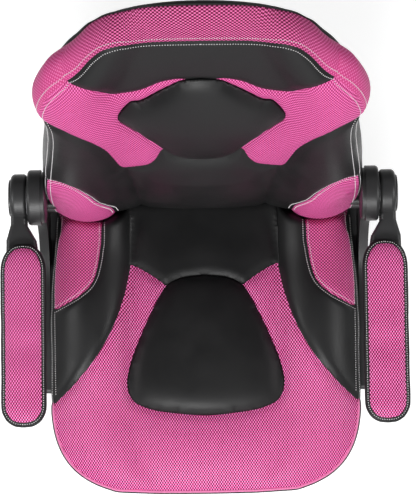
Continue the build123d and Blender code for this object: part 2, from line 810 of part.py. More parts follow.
def back_depth_at(along):
    """Depth of the middle of the back cushion at a distance up the back board."""
    for lower, upper in zip(back_stations, back_stations[1:]):
        if along <= upper[0]:
            share = (along - lower[0]) / (upper[0] - lower[0])
            return lower[3] + share * (upper[3] - lower[3])
    return back_stations[-1][3]


with BuildPart() as back_form:
    for along, half, heel_share, depth, side_depth in back_stations:
        heel = heel_share * half
        lip = 0.975 * half
        inner = 0.52 * half
        crest = 0.80 * half
        lip_depth = 0.80 * side_depth
        valley = 0.96 * depth
        with BuildSketch(leaning_plane(along)):
            with BuildLine():
                Line((-heel, 0), (heel, 0))
                ThreePointArc((heel, 0), (half, -side_depth * 0.4), (lip, -lip_depth))
                ThreePointArc((lip, -lip_depth), (crest, -side_depth), (inner, -valley))
                ThreePointArc((inner, -valley), (0, -depth), (-inner, -valley))
                ThreePointArc((-inner, -valley), (-crest, -side_depth), (-lip, -lip_depth))
                ThreePointArc((-lip, -lip_depth), (-half, -side_depth * 0.4), (-heel, 0))
            make_face()
    loft()
with BuildPart() as back_cushion:
    add(back_form.part)
    for side in (1, -1):
        with BuildSketch(Plane.XY.offset(plate_low - slack)):
            with Locations((side * (side_plate_x + side_plate_thickness / 2),
                            (side_plate_front + plate_rear) / 2)):
                Rectangle(side_plate_thickness + 2 * slack, plate_rear - side_plate_front + 2 * slack)
            with Locations((side * (side_plate_x + side_plate_thickness - side_plate_flange / 2),
                            plate_rear - side_plate_thickness / 2)):
                Rectangle(side_plate_flange + 2 * slack, side_plate_thickness + 2 * slack)
        extrude(amount=plate_high - plate_low + 2 * slack, mode=Mode.SUBTRACT)
        with BuildSketch(Plane.YZ.offset(side * (side_plate_x - bolt_head_radius))):
            with Locations(*[(side_bolt_y, z) for z in side_bolt_zs]):
                Circle(spacer_radius + slack)
        extrude(amount=side * (bracket_x - side_plate_x + bolt_head_radius), mode=Mode.SUBTRACT)
pieces["back_cushion"] = back_cushion.part

# Upper back pad: a six-sided pillow sewn onto the cushion between the wings

pad_length = back_pad_high - back_pad_low
# Places up the pad, each as a share of its length, with its share of the width and of the rise
back_pad_stations = [
    (0.0, 0.47, 0.15),
    (0.05, 0.55, 0.5),
    (0.25, 0.77, 0.95),
    (0.53, 1.0, 1.0),
    (0.62, 0.94, 0.95),
    (0.78, 0.66, 0.8),
    (0.93, 0.36, 0.45),
    (1.0, 0.22, 0.12),
]
with BuildPart() as back_pad:
    for place, width_share, rise_share in back_pad_stations:
        along = back_pad_low + place * pad_length
        half = width_share * back_pad_half_width
        ground = back_depth_at(along)
        with BuildSketch(leaning_plane(along)):
            with BuildLine():
                Line((-half, -ground + back_pad_sink), (half, -ground + back_pad_sink))
                Line((half, -ground + back_pad_sink), (half, -ground - back_pad_lip))
                ThreePointArc((half, -ground - back_pad_lip),
                              (0, -ground - back_pad_lip - back_pad_rise * rise_share),
                              (-half, -ground - back_pad_lip))
                Line((-half, -ground - back_pad_lip), (-half, -ground + back_pad_sink))
            make_face()
    loft()
    add(back_form.part, mode=Mode.SUBTRACT)
pieces["back_pad"] = back_pad.part

# Seat cushion: a crowned middle between raised bolsters, rounded and rolled down at the front


def seat_half_at(y):
    """Half width of the seat at y: a rounded front and sides that close in to the rear."""
    into_round = max(0.0, (seat_front + seat_front_round - y) / seat_front_round)
    rounded = (1 - into_round**seat_round_power) ** (1 / seat_round_power)
    into_rear = max(0.0, (y - seat_taper_start) / (seat_rear - seat_taper_start))
    return seat_half_width * rounded - seat_rear_taper * into_rear**seat_taper_power


# Places along the seat, each with its share of the bolsters' rise and its drop below the crown
seat_stations = [
    (seat_rear, 1.0, 10.0),
    (0.55 * seat_rear, 1.0, 6.0),
    (0.05 * seat_rear, 1.0, 1.0),
    (0.25 * seat_front, 0.8, 0.0),
    (0.47 * seat_front, 0.35, 0.0),
    (0.67 * seat_front, 0.1, 2.0),
    (0.83 * seat_front, 0.04, 7.0),
    (0.93 * seat_front, 0.03, 14.0),
    (0.963 * seat_front, 0.025, 20.0),
    (0.985 * seat_front, 0.02, 27.0),
]
nose_start = seat_front + seat_front_round
with BuildPart() as seat_cushion:
    for y, bolster_share, drop in seat_stations:
        half = seat_half_at(y)
        share = half / seat_half_width
        crown_z = seat_crown_z - drop
        edge_z = seat_edge_z - (seat_edge_z - seat_nose_z) * max(0.0, (nose_start - y) / seat_front_round)
        edge_z = min(edge_z, crown_z - 8 * share)
        crest_z = max(crown_z, edge_z) + (bolster_z - seat_crown_z) * bolster_share + 2 * share
        foot = half - seat_skirt_inset * share
        inner = bolster_inner * share
        valley_z = crown_z - 3 * share
        with BuildSketch(across(y)):
            with BuildLine():
                Line((-foot, plate_top), (foot, plate_top))
                ThreePointArc((foot, plate_top), (half, (plate_top + edge_z) / 2),
                              (half - 3 * share, edge_z))
                ThreePointArc((half - 3 * share, edge_z), ((0.62 * half + 0.38 * inner), crest_z),
                              (inner, valley_z))
                ThreePointArc((inner, valley_z), (0, crown_z), (-inner, valley_z))
                ThreePointArc((-inner, valley_z), (-(0.62 * half + 0.38 * inner), crest_z),
                              (3 * share - half, edge_z))
                ThreePointArc((3 * share - half, edge_z), (-half, (plate_top + edge_z) / 2),
                              (-foot, plate_top))
            make_face()
    loft()
    with BuildSketch(Plane.XY.offset(plate_top - slack)):
        add(board_outline(slack))
    extrude(amount=board_thickness + 2 * slack, mode=Mode.SUBTRACT)
    with BuildSketch(Plane.XY.offset(board_top)):
        with GridLocations(plate_bolts_x, plate_bolts_y, 2, 2):
            Circle(tee_flange_radius + slack)
        with Locations(*foot_spots):
            Circle(tee_flange_radius + slack)
    extrude(amount=tee_flange + slack, mode=Mode.SUBTRACT)
    add(back_form.part, mode=Mode.SUBTRACT)
pieces["seat_cushion"] = seat_cushion.part

seat_pad_length = seat_pad_rear - seat_pad_front
with BuildPart() as seat_centre_pad:
    with BuildSketch(Plane.XY.offset(seat_crown_z - pad_rise)):
        with Locations((0, (seat_pad_rear + seat_pad_front) / 2)):
            Trapezoid(seat_pad_front_width, seat_pad_length, seat_pad_flank)
        fillet(vertices(), seat_pad_corner)
    extrude(amount=2 * pad_rise)
    fillet(seat_centre_pad.faces().sort_by(Axis.Z)[-1].edges(), pad_rise * 0.9)
    add(seat_cushion.part, mode=Mode.SUBTRACT)
pieces["seat_centre_pad"] = seat_centre_pad.part

# Rear cover: the padded panel behind the back board, thinner above it


def rear_thinning_at(along):
    """Share of the rear cover's thickness at a distance up the back board."""
    board_end = back_board_start + back_board_length
    run = max(back_length - board_end, rear_cover_depth)
    return max(0.25, 1 - 0.75 * max(0.0, along - board_end) / run)


with BuildPart() as back_rear_cover:
    for along, half, heel_share, depth, side_depth in back_stations:
        heel = heel_share * half
        thinning = rear_thinning_at(along)
        edge = (rear_cover_edge - 0.004 * along) * thinning
        with BuildSketch(leaning_plane(along)):
            with BuildLine():
                Line((-heel, slack), (heel, slack))
                Line((heel, slack), (0.98 * heel, edge))
                ThreePointArc((0.98 * heel, edge), (0, rear_cover_depth * thinning), (-0.98 * heel, edge))
                Line((-0.98 * heel, edge), (-heel, slack))
            make_face()
    loft()
    with BuildSketch(front_plane()):
        with Locations((0, back_board_start + back_board_length / 2)):
            RectangleRounded(2 * back_board_half_width + 2 * slack, back_board_length + 2 * slack,
                             back_board_half_width / 2 + slack)
    extrude(amount=-back_board_thickness - 2 * slack, mode=Mode.SUBTRACT)
pieces["back_rear_cover"] = back_rear_cover.part

# Side brackets: a bar beside the seat with two feet under the board, and an upright to the arm pivot

upright_front = pivot_y - bracket_upright_width / 2
upright_rear = pivot_y + bracket_upright_width / 2
bar_top = bracket_bar_z + bracket_bar_height
with BuildPart() as side_bracket:
    with BuildSketch(Plane.YZ.offset(bracket_x)):
        with BuildLine():
            FilletPolyline(
                (bracket_front, (bracket_bar_z + bar_top) / 2),
                (bracket_front, bar_top),
                (upright_front, bar_top + bracket_bar_slope),
                (upright_front, pivot_z),
                radius=[bracket_bar_height / 3, bracket_sweep],
            )
            Line((upright_front, pivot_z), (upright_rear, pivot_z))
            FilletPolyline(
                (upright_rear, pivot_z),
                (upright_rear, bracket_bar_z),
                (bracket_front, bracket_bar_z),
                (bracket_front, (bracket_bar_z + bar_top) / 2),
                radius=[bracket_bend, bracket_bar_height / 3],
            )
        make_face()
    extrude(amount=bracket_thickness)
    with BuildSketch(Plane.YZ.offset(bracket_x)):
        with Locations((pivot_y, pivot_z)):
            Circle(pivot_radius)
    extrude(amount=pivot_depth)
    fillet(side_bracket.faces().sort_by(Axis.X)[-1].edges(),
           min(pivot_rounding, 0.9 * (pivot_depth - bracket_thickness)))
    with BuildSketch(Plane.YZ.offset(bracket_x)):
        with Locations((pivot_y, pivot_z)):
            Circle(pivot_radius - pivot_boss / 2)
    extrude(amount=-pivot_boss)
    fillet(side_bracket.faces().sort_by(Axis.X)[0].edges(), pivot_boss / 3)
    for y in foot_ys:
        with BuildSketch(across(y + foot_width / 2)):
            with BuildLine():
                Polyline(
                    (foot_inner, foot_bottom),
                    (bracket_x + bracket_thickness, foot_bottom),
                    (bracket_x + bracket_thickness, bracket_bar_z + bracket_bar_height / 2),
                    (bracket_x, bracket_bar_z + bracket_bar_height / 2),
                    (bracket_x, foot_bottom + foot_thickness),
                    (foot_inner, foot_bottom + foot_thickness),
                    close=True,
                )
            make_face()
        extrude(amount=foot_width)
    ledge_front = bracket_front + bracket_bar_height
    with BuildSketch(Plane.XY.offset(foot_bottom)):
        with Locations((bracket_x + (bracket_thickness - bracket_ledge) / 2, (ledge_front + upright_rear) / 2)):
            Rectangle(bracket_ledge + bracket_thickness, upright_rear - ledge_front)
    extrude(amount=foot_thickness)
    with BuildSketch(Plane.XY.offset(foot_bottom)):
        with Locations(*[(foot_bolt_x, y) for y in foot_ys]):
            Circle(bolt_radius + bolt_hole_gap)
    extrude(amount=foot_thickness, mode=Mode.SUBTRACT)
    with BuildSketch(Plane.YZ.offset(bracket_x)):
        with Locations((pivot_y, pivot_z)):
            Circle(arm_bolt_radius)
        with Locations(*[(side_bolt_y, z) for z in side_bolt_zs]):
            Circle(bolt_radius + bolt_hole_gap)
    extrude(amount=pivot_depth, mode=Mode.SUBTRACT)
pieces["side_bracket_left"] = side_bracket.part
pieces["side_bracket_right"] = mirrored(side_bracket.part)

side_plate_outer = side_plate_x + side_plate_thickness
bracket_outer = bracket_x + bracket_thickness
with BuildPart() as side_bolts:
    with BuildSketch(Plane.YZ.offset(side_plate_x)):
        with Locations(*[(side_bolt_y, z) for z in side_bolt_zs]):
            Circle(bolt_radius)
    extrude(amount=bracket_outer - side_plate_x)
    with BuildSketch(Plane.YZ.offset(bracket_outer)):
        with Locations(*[(side_bolt_y, z) for z in side_bolt_zs]):
            Circle(bolt_head_radius)
    extrude(amount=bolt_head_height)
pieces["back_side_bolts"] = both_sides(side_bolts.part)

with BuildPart() as side_spacers:
    with BuildSketch(Plane.YZ.offset(side_plate_outer)):
        with Locations(*[(side_bolt_y, z) for z in side_bolt_zs]):
            Circle(spacer_radius)
            Circle(bolt_radius, mode=Mode.SUBTRACT)
    extrude(amount=bracket_x - side_plate_outer)
pieces["back_side_spacers"] = both_sides(side_spacers.part)

# Flip-up arms: a moulded arm that turns on a bolt through the bracket's head, with a padded top

arm_bolt_seat = arm_head_x + arm_head_width - arm_cap_thickness - arm_bolt_head_height
with BuildPart() as arm_bolt:
    with BuildSketch(Plane.YZ.offset(bracket_x)):
        with Locations((pivot_y, pivot_z)):
            Circle(arm_bolt_radius)
    extrude(amount=arm_bolt_seat - bracket_x)
    with BuildSketch(Plane.YZ.offset(arm_bolt_seat + slack)):
        with Locations((pivot_y, pivot_z)):
            Circle(arm_bolt_head - slack)
    extrude(amount=arm_bolt_head_height - 2 * slack)
    with BuildSketch(Plane.YZ.offset(arm_bolt_seat)):
        with Locations((pivot_y, pivot_z)):
            Circle(arm_bolt_radius)
    extrude(amount=slack)
pieces["arm_pivot_bolts"] = both_sides(arm_bolt.part)

with BuildPart() as arm_washer:
    with BuildSketch(Plane.YZ.offset(bracket_x + pivot_depth + side_play)):
        with Locations((pivot_y, pivot_z)):
            Circle(washer_radius)
            Circle(arm_bolt_radius + running_gap, mode=Mode.SUBTRACT)
    extrude(amount=washer_thickness)
pieces["arm_pivot_washers"] = both_sides(arm_washer.part)


def arm_half_at(y):
    """Half width of the arm pad at y: parallel sides, a round front end and a longer round rear end."""
    into_front = max(0.0, (arm_pad_front + arm_pad_front_round - y) / arm_pad_front_round)
    into_rear = max(0.0, (y - arm_pad_rear + arm_pad_rear_round) / arm_pad_rear_round)
    return arm_pad_width / 2 * (1 - max(into_front, into_rear) ** 2.2) ** (1 / 2.2)


tray_half = arm_pad_width / 2 - arm_tray_inset
tray_front = arm_pad_front + arm_tray_inset
tray_length = arm_pad_rear - tray_front
neck_x = arm_head_x + arm_head_width / 2
with BuildPart() as arm_head:
    with BuildSketch(Plane.YZ.offset(arm_head_x)):
        with Locations((pivot_y, pivot_z)):
            Circle(arm_head_radius)
    extrude(amount=arm_head_width)
    fillet(arm_head.faces().sort_by(Axis.X)[-1].edges(), arm_head_rounding)
    fillet(arm_head.faces().sort_by(Axis.X)[0].edges(), arm_inner_rounding)
with BuildPart() as arm_frame:
    with BuildSketch(Plane.XY.offset(arm_tray_z)):
        with Locations((arm_centre_x, tray_front + tray_length / 2)):
            RectangleRounded(2 * tray_half, tray_length, tray_half - arm_tray_inset)
    extrude(amount=arm_tray_thickness)
    fillet(arm_frame.faces().sort_by(Axis.Z)[0].edges(), arm_tray_thickness / 3)
    add(arm_head.part)
    with BuildSketch(across(pivot_y, neck_x)):
        with Locations((0, arm_tray_top - arm_neck_height / 2)):
            RectangleRounded(arm_head_width, arm_neck_height, arm_head_width / 4)
    with BuildSketch(across(arm_neck_y, neck_x)):
        with Locations((0, arm_tray_top - arm_neck_height / 2)):
            RectangleRounded(arm_head_width, arm_neck_height, arm_head_width / 4)
    with BuildSketch(across(arm_flare_y, (arm_centre_x + neck_x) / 2)):
        with Locations((0, arm_tray_top - 0.35 * arm_neck_height)):
            RectangleRounded(1.5 * tray_half, 0.7 * arm_neck_height, arm_head_width / 4)
    with BuildSketch(across(arm_pad_rear - arm_pad_rear_round, arm_centre_x)):
        with Locations((0, arm_tray_top - arm_tray_thickness)):
            RectangleRounded(1.8 * tray_half, 2 * arm_tray_thickness, arm_tray_thickness / 2)
    loft(ruled=True)
    with BuildSketch(Plane.YZ.offset(arm_head_x)):
        with Locations((pivot_y, pivot_z)):
            Circle(arm_bolt_radius + running_gap)
    extrude(amount=arm_head_width, mode=Mode.SUBTRACT)
    with BuildSketch(Plane.YZ.offset(arm_bolt_seat)):
        with Locations((pivot_y, pivot_z)):
            Circle(arm_bolt_head)
    extrude(amount=arm_head_width, mode=Mode.SUBTRACT)
pieces["arm_frame_left"] = arm_frame.part
pieces["arm_frame_right"] = mirrored(arm_frame.part)

with BuildPart() as arm_cap:
    with BuildSketch(Plane.YZ.offset(arm_head_x + arm_head_width - arm_cap_thickness)):
        with Locations((pivot_y, pivot_z)):
            Circle(arm_bolt_head)
    extrude(amount=arm_cap_thickness)
    with BuildSketch(Plane.YZ.offset(arm_head_x + arm_head_width)):
        with Locations((pivot_y, pivot_z)):
            Circle(arm_cap_radius)
    extrude(amount=arm_cap_rise)
    fillet(arm_cap.faces().sort_by(Axis.X)[-1].edges(), arm_cap_rise / 2)
pieces["arm_cap_left"] = arm_cap.part
pieces["arm_cap_right"] = mirrored(arm_cap.part)

arm_pad_base = arm_tray_top + slack
arm_pad_top = arm_tray_top + arm_pad_thickness
arm_pad_run = arm_pad_rear - arm_pad_front
with BuildPart() as arm_pad:
    for share in (0.006, 0.03, 0.08, 0.13, 0.2, 0.35, 0.5, 0.65, 0.77, 0.85, 0.92, 0.965, 0.995):
        y = arm_pad_front + share * arm_pad_run
        half = arm_half_at(y)
        plump = half / (arm_pad_width / 2)
        shoulder = arm_pad_base + (arm_pad_thickness - arm_pad_crown) * (0.45 + 0.45 * plump)
        peak = shoulder + arm_pad_crown * plump
        with BuildSketch(across(y, arm_centre_x)):
            with BuildLine():
                Line((-0.94 * half, arm_pad_base), (0.94 * half, arm_pad_base))
                ThreePointArc((0.94 * half, arm_pad_base), (half, (arm_pad_base + shoulder) / 2),
                              (0.9 * half, shoulder))
                ThreePointArc((0.9 * half, shoulder), (0, peak), (-0.9 * half, shoulder))
                ThreePointArc((-0.9 * half, shoulder), (-half, (arm_pad_base + shoulder) / 2),
                              (-0.94 * half, arm_pad_base))
            make_face()
    loft()
pieces["arm_pad_left"] = arm_pad.part
pieces["arm_pad_right"] = mirrored(arm_pad.part)

# Every piece is written under its own name
os.makedirs("parts", exist_ok=True)
for name, piece in pieces.items():
    piece.label = name
    export_step(piece, f"parts/{name}.step")
print(len(pieces), "pieces")
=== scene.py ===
# %% [markdown]
# # Dressing a gaming chair
# The chair arrives as a finished set of hard parts: boards, brackets, lift, base and casters, with plain
# solids where its cushions go. This lesson sews covers over those solids, gives every part a finish, and
# sets a camera where the photographer stood. All sizes of the upholstery are in millimetres and turned into
# metres when a mesh is made.

# %% Load the chair
import math

import bmesh
import bpy
import numpy as np
from mathutils import Matrix, Vector
from mathutils.bvhtree import BVHTree
from mathutils.geometry import delaunay_2d_cdt
from mathutils.kdtree import KDTree


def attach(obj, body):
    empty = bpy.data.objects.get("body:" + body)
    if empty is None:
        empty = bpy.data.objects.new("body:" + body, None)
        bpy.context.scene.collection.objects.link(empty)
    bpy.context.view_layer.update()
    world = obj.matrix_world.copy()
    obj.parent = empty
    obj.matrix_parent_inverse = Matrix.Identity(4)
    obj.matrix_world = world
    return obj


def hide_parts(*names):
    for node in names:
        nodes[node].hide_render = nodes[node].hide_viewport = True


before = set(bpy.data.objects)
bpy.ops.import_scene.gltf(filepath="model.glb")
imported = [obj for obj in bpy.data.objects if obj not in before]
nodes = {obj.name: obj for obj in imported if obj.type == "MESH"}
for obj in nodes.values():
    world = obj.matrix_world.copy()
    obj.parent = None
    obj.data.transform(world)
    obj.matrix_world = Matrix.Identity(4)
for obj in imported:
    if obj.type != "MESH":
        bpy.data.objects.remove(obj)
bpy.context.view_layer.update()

scene = bpy.context.scene
bpy.ops.object.select_all(action="DESELECT")
print("chair parts:", len(nodes))

# %% [markdown]
# ## Writing shaders as sums
# A finish is a small piece of maths: where a thread lies, how deep a grain is. Wiring Math nodes by hand
# hides that maths, so one class wraps a socket and lets Python's operators add the nodes.

# %% A socket that can be added and multiplied
class Wire:
    """An output socket of a node. Arithmetic on wires adds Math nodes to the same tree."""

    def __init__(self, socket):
        self.socket = socket
        self.tree = socket.id_data

    @staticmethod
    def node(tree, kind, settings=None, sockets=None, out=0):
        """Adds a node, sets it up, feeds its sockets with values or wires, and returns one output."""
        made = tree.nodes.new(kind)
        for name, value in (settings or {}).items():
            setattr(made, name, value)
        for name, value in (sockets or {}).items():
            if isinstance(value, Wire):
                tree.links.new(value.socket, made.inputs[name])
            else:
                made.inputs[name].default_value = value
        return Wire(made.outputs[out])

    def output(self, name):
        """Another output of the same node."""
        return Wire(self.socket.node.outputs[name])

    def math(self, operation, *others):
        sockets = dict(enumerate((self, *others)))
        return Wire.node(self.tree, "ShaderNodeMath", {"operation": operation}, sockets)

    def __add__(self, other):
        return self.math("ADD", other)

    def __mul__(self, other):
        return self.math("MULTIPLY", other)

    def __rsub__(self, other):
        return (self * -1) + other

    def cos(self):
        return self.math("COSINE")

    def step(self, low, high):
        """A smooth rise from 0 at low to 1 at high."""
        return Wire.node(
            self.tree, "ShaderNodeMapRange", {"interpolation_type": "SMOOTHSTEP"},
            {"Value": self, "From Min": low, "From Max": high, "To Min": 0.0, "To Max": 1.0},
        )

    def blend(self, first, second):
        """A colour that goes from the first to the second as this wire goes from 0 to 1."""
        return Wire.node(self.tree, "ShaderNodeMix", {"data_type": "RGBA"}, {0: self, 6: first, 7: second}, 2)


def new_finish(name, **shader):
    """An empty material with one Principled shader, whose plain values are given by socket name."""
    finish = bpy.data.materials.new(name)
    finish.use_nodes = True
    body = finish.node_tree.nodes["Principled BSDF"]
    for socket, value in shader.items():
        body.inputs[socket.replace("_", " ")].default_value = value
    return finish, finish.node_tree, body


def feed(tree, body, socket, wire):
    tree.links.new(wire.socket, body.inputs[socket])


def bump(tree, height, strength, distance):
    return Wire.node(tree, "ShaderNodeBump", None,
                     {"Height": height, "Strength": strength, "Distance": distance})


def place(tree):
    return Wire.node(tree, "ShaderNodeTexCoord", None, None, "Object")


def noise(tree, scale, detail=3.0, where=None, roughness=0.5):
    sockets = {"Vector": where or place(tree), "Scale": scale, "Detail": detail, "Roughness": roughness}
    return Wire.node(tree, "ShaderNodeTexNoise", None, sockets)


def tint(colour, shares):
    """The colour with each part multiplied by its share, and full alpha."""
    return (*(part * share for part, share in zip(colour, shares)), 1)


print("shader helpers ready")

# %% [markdown]
# ## Pink mesh
# The bright panels are a spacer mesh: a knitted net with staggered holes a few millimetres apart, through
# which the darker inner layer shows. The holes are painted nearly black, as painted shade inside them, and the
# knots between the holes are painted paler, as a painted highlight where the yarn crosses. A picture of it would
# blur close up, so holes and knots come from the product of two cosines on the cover's own flat map, which is in
# metres. The net is a bump too, so it catches light. The back's band and the seat's inserts have a wider net than
# the rest, and their yarn and knots are painted darker, as painted shade. Towards the band's shoulders the holes
# fade out: the net is smoother there and loses its painted hole shade, so the shoulders render lighter.

# %% Mesh fabric
HOLE_EDGE = (-0.12, 0.40)
KNOT_GLINT_EDGE = (0.10, 0.75)
SHOULDER_SHADE_FADE = 0.9


def mesh_fabric(name, net, yarn, glint_colour, hole_shade_colour, gloss=0.0, depth=0.0007, lighter_shoulders=None):
    """A net with the given pitches across and along, with painted shade in its holes and a painted highlight on
    its knots. Between two distances from the middle, if they are given, the holes fade out, and their painted
    shade with them."""
    finish, tree, body = new_finish(name, Specular_IOR_Level=0.3, Coat_Roughness=0.5, Coat_IOR=1.6)
    flat = Wire.node(tree, "ShaderNodeUVMap", {"uv_map": "flat"})
    x = Wire.node(tree, "ShaderNodeSeparateXYZ", None, {0: flat})
    y = x.output("Y")
    lattice = (x * (math.tau / net[0])).cos() * (y * (math.tau / net[1])).cos()
    # Painted shade: the holes take a nearly black colour, the inner layer seen in shade.
    hole_and_shade = lattice.step(*HOLE_EDGE)
    # Painted highlight: the knots take a paler colour that stands for glints where the yarn crosses; they rise in
    # the bump too.
    knot_and_glint = (lattice * -1).step(*KNOT_GLINT_EDGE)
    # Towards the shoulders the holes fade, which smooths the net and takes away its painted hole shade, so it
    # renders lighter there.
    if lighter_shoulders:
        side = Wire.node(tree, "ShaderNodeSeparateXYZ", None, {0: place(tree)}).math("ABSOLUTE")
        hole_and_shade = hole_and_shade * (1 - side.step(*lighter_shoulders) * SHOULDER_SHADE_FADE)
    cloud = noise(tree, 9.0, 4.0).step(0.3, 0.75)
    shade = cloud.blend(tint(yarn, (0.92, 0.88, 0.9)), (*yarn, 1))
    thread = knot_and_glint.blend(shade, (*glint_colour, 1))
    # Base colour: yarn with painted glints on the knots, and painted shade in the holes.
    feed(tree, body, "Base Color", hole_and_shade.blend(thread, (*hole_shade_colour, 1)))
    feed(tree, body, "Roughness", hole_and_shade * 0.3 + 0.5)
    feed(tree, body, "Coat Weight", (1 - hole_and_shade) * gloss)
    feed(tree, body, "Normal", bump(tree, (1 - hole_and_shade) + knot_and_glint * 0.4, 0.7, depth))
    return finish


FINE_NET = (0.00447, 0.0066)
# Painted shade: the colour of a hole, the inner layer seen in shade.
HOLE_SHADE_PINK = (0.07, 0.001, 0.019)
pink_mesh = mesh_fabric("pink_mesh", FINE_NET, (0.88, 0.052, 0.305), (1.00, 0.320, 0.740), HOLE_SHADE_PINK, 0.4)
# The wings' holes are painted with less shade than the seat's.
wing_mesh = mesh_fabric("wing_mesh", FINE_NET, (0.76, 0.090, 0.330), (0.90, 0.230, 0.560), (0.30, 0.010, 0.100))
# Painted shade: the inserts' yarn and knots are darker than the seat's, for the shade that the back and arms cast
# over them.
shaded_insert_mesh = mesh_fabric(
    "shaded_insert_mesh", (0.0055, 0.0053), (0.70, 0.043, 0.245), (0.84, 0.220, 0.520), HOLE_SHADE_PINK
)
# Painted shade: the band's yarn and knots are darker still, for the shade on the top of the back.
shaded_band_mesh = mesh_fabric(
    "shaded_band_mesh", (0.0063, 0.0051), (0.62, 0.048, 0.230), (0.80, 0.210, 0.470), HOLE_SHADE_PINK,
    depth=0.001, lighter_shoulders=(0.11, 0.22),
)
print("mesh fabric:", pink_mesh.name, wing_mesh.name, shaded_insert_mesh.name, shaded_band_mesh.name)

# %% [markdown]
# ## Black leather
# The dark panels are a smooth synthetic leather: nearly black, with a fine pebbled grain and broad soft
# highlights. Small Voronoi cells give the grain, and slow noise varies the gloss, as handling does.

# %% Leather and cloth
def leather(name, tone, roughness):
    finish, tree, body = new_finish(name, Specular_IOR_Level=0.27)
    where = place(tree)
    cells = Wire.node(tree, "ShaderNodeTexVoronoi", {"feature": "DISTANCE_TO_EDGE"},
                      {"Vector": where, "Scale": 620.0, "Randomness": 0.9})
    pebble = cells.step(0.02, 0.28)
    cloud = noise(tree, 14.0, 4.0, where).step(0.25, 0.8)
    grey = (tone, tone, tone)
    feed(tree, body, "Base Color", cloud.blend(tint(grey, (0.82, 0.84, 0.88)), tint(grey, (1.2, 1.22, 1.25))))
    feed(tree, body, "Roughness", cloud * 0.12 + (1 - pebble) * 0.12 + roughness)
    folds = noise(tree, 45.0, 3.0, where)
    feed(tree, body, "Normal", bump(tree, pebble * 0.35 + folds * 0.2, 0.16, 0.0006))
    return finish


black_leather = leather("black_leather", 0.0100, 0.33)
edge_leather = leather("edge_leather", 0.0100, 0.42)


def plain_cloth(name, colour, roughness=0.85):
    finish, tree, body = new_finish(name, Roughness=roughness, Sheen_Weight=0.2)
    fibre = noise(tree, 900.0, 2.0)
    feed(tree, body, "Base Color", fibre.step(0.3, 0.7).blend(tint(colour, (0.75, 0.75, 0.75)), (*colour, 1)))
    feed(tree, body, "Normal", bump(tree, fibre, 0.3, 0.0003))
    return finish


white_thread = plain_cloth("white_thread", (0.78, 0.76, 0.77), 0.6)
pink_welt = plain_cloth("pink_welt", (0.82, 0.2, 0.44), 0.6)
underside_cloth = plain_cloth("underside_cloth", (0.02, 0.02, 0.021))
print("leather, thread, welt and cloth ready")

# %% [markdown]
# ## Moulded and metal finishes
# Arms, brackets, base and casters are black nylon with a fine spark-eroded texture. The lift and the mechanism
# are powder-coated or plated steel. Each finish carries some unevenness, so no part looks like flat paint.

# %% Nylon, powder coat, steel and ply
def moulded(name, tone, roughness, pit=0.25, scale=1500.0):
    finish, tree, body = new_finish(name, Specular_IOR_Level=0.5)
    where = place(tree)
    speck = noise(tree, scale, 2.0, where)
    cloud = noise(tree, 11.0, 3.0, where).step(0.3, 0.75)
    grey = (tone, tone, tone)
    feed(tree, body, "Base Color", cloud.blend(tint(grey, (0.85, 0.85, 0.88)), tint(grey, (1.15, 1.16, 1.2))))
    feed(tree, body, "Roughness", speck * 0.14 + cloud * 0.08 + (roughness - 0.1))
    feed(tree, body, "Normal", bump(tree, speck, pit, 0.0003))
    return finish


def metal(name, colour, roughness, scale=260.0):
    finish, tree, body = new_finish(name, Metallic=1.0)
    where = place(tree)
    fine = noise(tree, scale, 4.0, where)
    smear = noise(tree, 18.0, 3.0, where).step(0.3, 0.75)
    feed(tree, body, "Base Color", smear.blend(tint(colour, (0.86, 0.86, 0.88)), (*colour, 1)))
    feed(tree, body, "Roughness", fine * 0.16 + smear * 0.06 + (roughness - 0.08))
    feed(tree, body, "Normal", bump(tree, fine, 0.12, 0.0002))
    return finish


def plywood(name):
    finish, tree, body = new_finish(name, Roughness=0.6)
    where = Wire.node(tree, "ShaderNodeMapping", None, {"Vector": place(tree), "Scale": (3.0, 60.0, 60.0)})
    grain = noise(tree, 3.0, 6.0, where, 0.65).step(0.3, 0.7)
    feed(tree, body, "Base Color", grain.blend((0.36, 0.23, 0.12, 1), (0.62, 0.45, 0.27, 1)))
    feed(tree, body, "Normal", bump(tree, grain, 0.2, 0.0004))
    return finish


black_nylon = moulded("black_nylon", 0.024, 0.42)
black_gloss = moulded("black_gloss", 0.022, 0.34, 0.08, 700.0)
powder_coat = moulded("powder_coat", 0.024, 0.5, 0.4, 2200.0)
grey_acetal = moulded("grey_acetal", 0.32, 0.4, 0.1)
zinc = metal("zinc", (0.66, 0.66, 0.67), 0.36)
bright_steel = metal("bright_steel", (0.72, 0.72, 0.73), 0.22, 500.0)
ply = plywood("ply")

wheel_nylon = moulded("wheel_nylon", 0.026, 0.42, 0.12, 900.0)


def five(name):
    return [f"{name}_{number}" for number in range(1, 6)]


def both(name):
    return [name + "_left", name + "_right"]


finishes = {
    black_nylon: ["base_star", "cover_lower", "cover_middle", "cover_upper", "tension_knob", "lever_bush",
                  "lever_handle", "back_side_spacers"] + both("side_bracket") + both("arm_frame"),
    black_gloss: both("arm_cap") + five("caster_hood"),
    grey_acetal: ["lift_guide_bush", "arm_pivot_washers"],
    powder_coat: ["lift_outer_tube", "mechanism_housing", "seat_plate"],
    zinc: ["lift_thrust_bearing", "tilt_pin", "tension_bolt", "tilt_spring", "lever_rod", "seat_tee_nuts",
           "seat_bolts", "seat_side_bolts", "back_side_plates", "back_side_bolts", "arm_pivot_bolts",
           "lift_release_pin"] + five("caster_stem"),
    bright_steel: ["lift_piston_rod", "lift_inner_column"],
    ply: ["seat_board", "back_board"],
    underside_cloth: ["seat_dust_cover"],
    wheel_nylon: five("caster_wheels"),
}
for finish, names in finishes.items():
    for name in names:
        nodes[name].data.materials.clear()
        nodes[name].data.materials.append(finish)
print("hard parts finished:", sum(len(names) for names in finishes.values()))

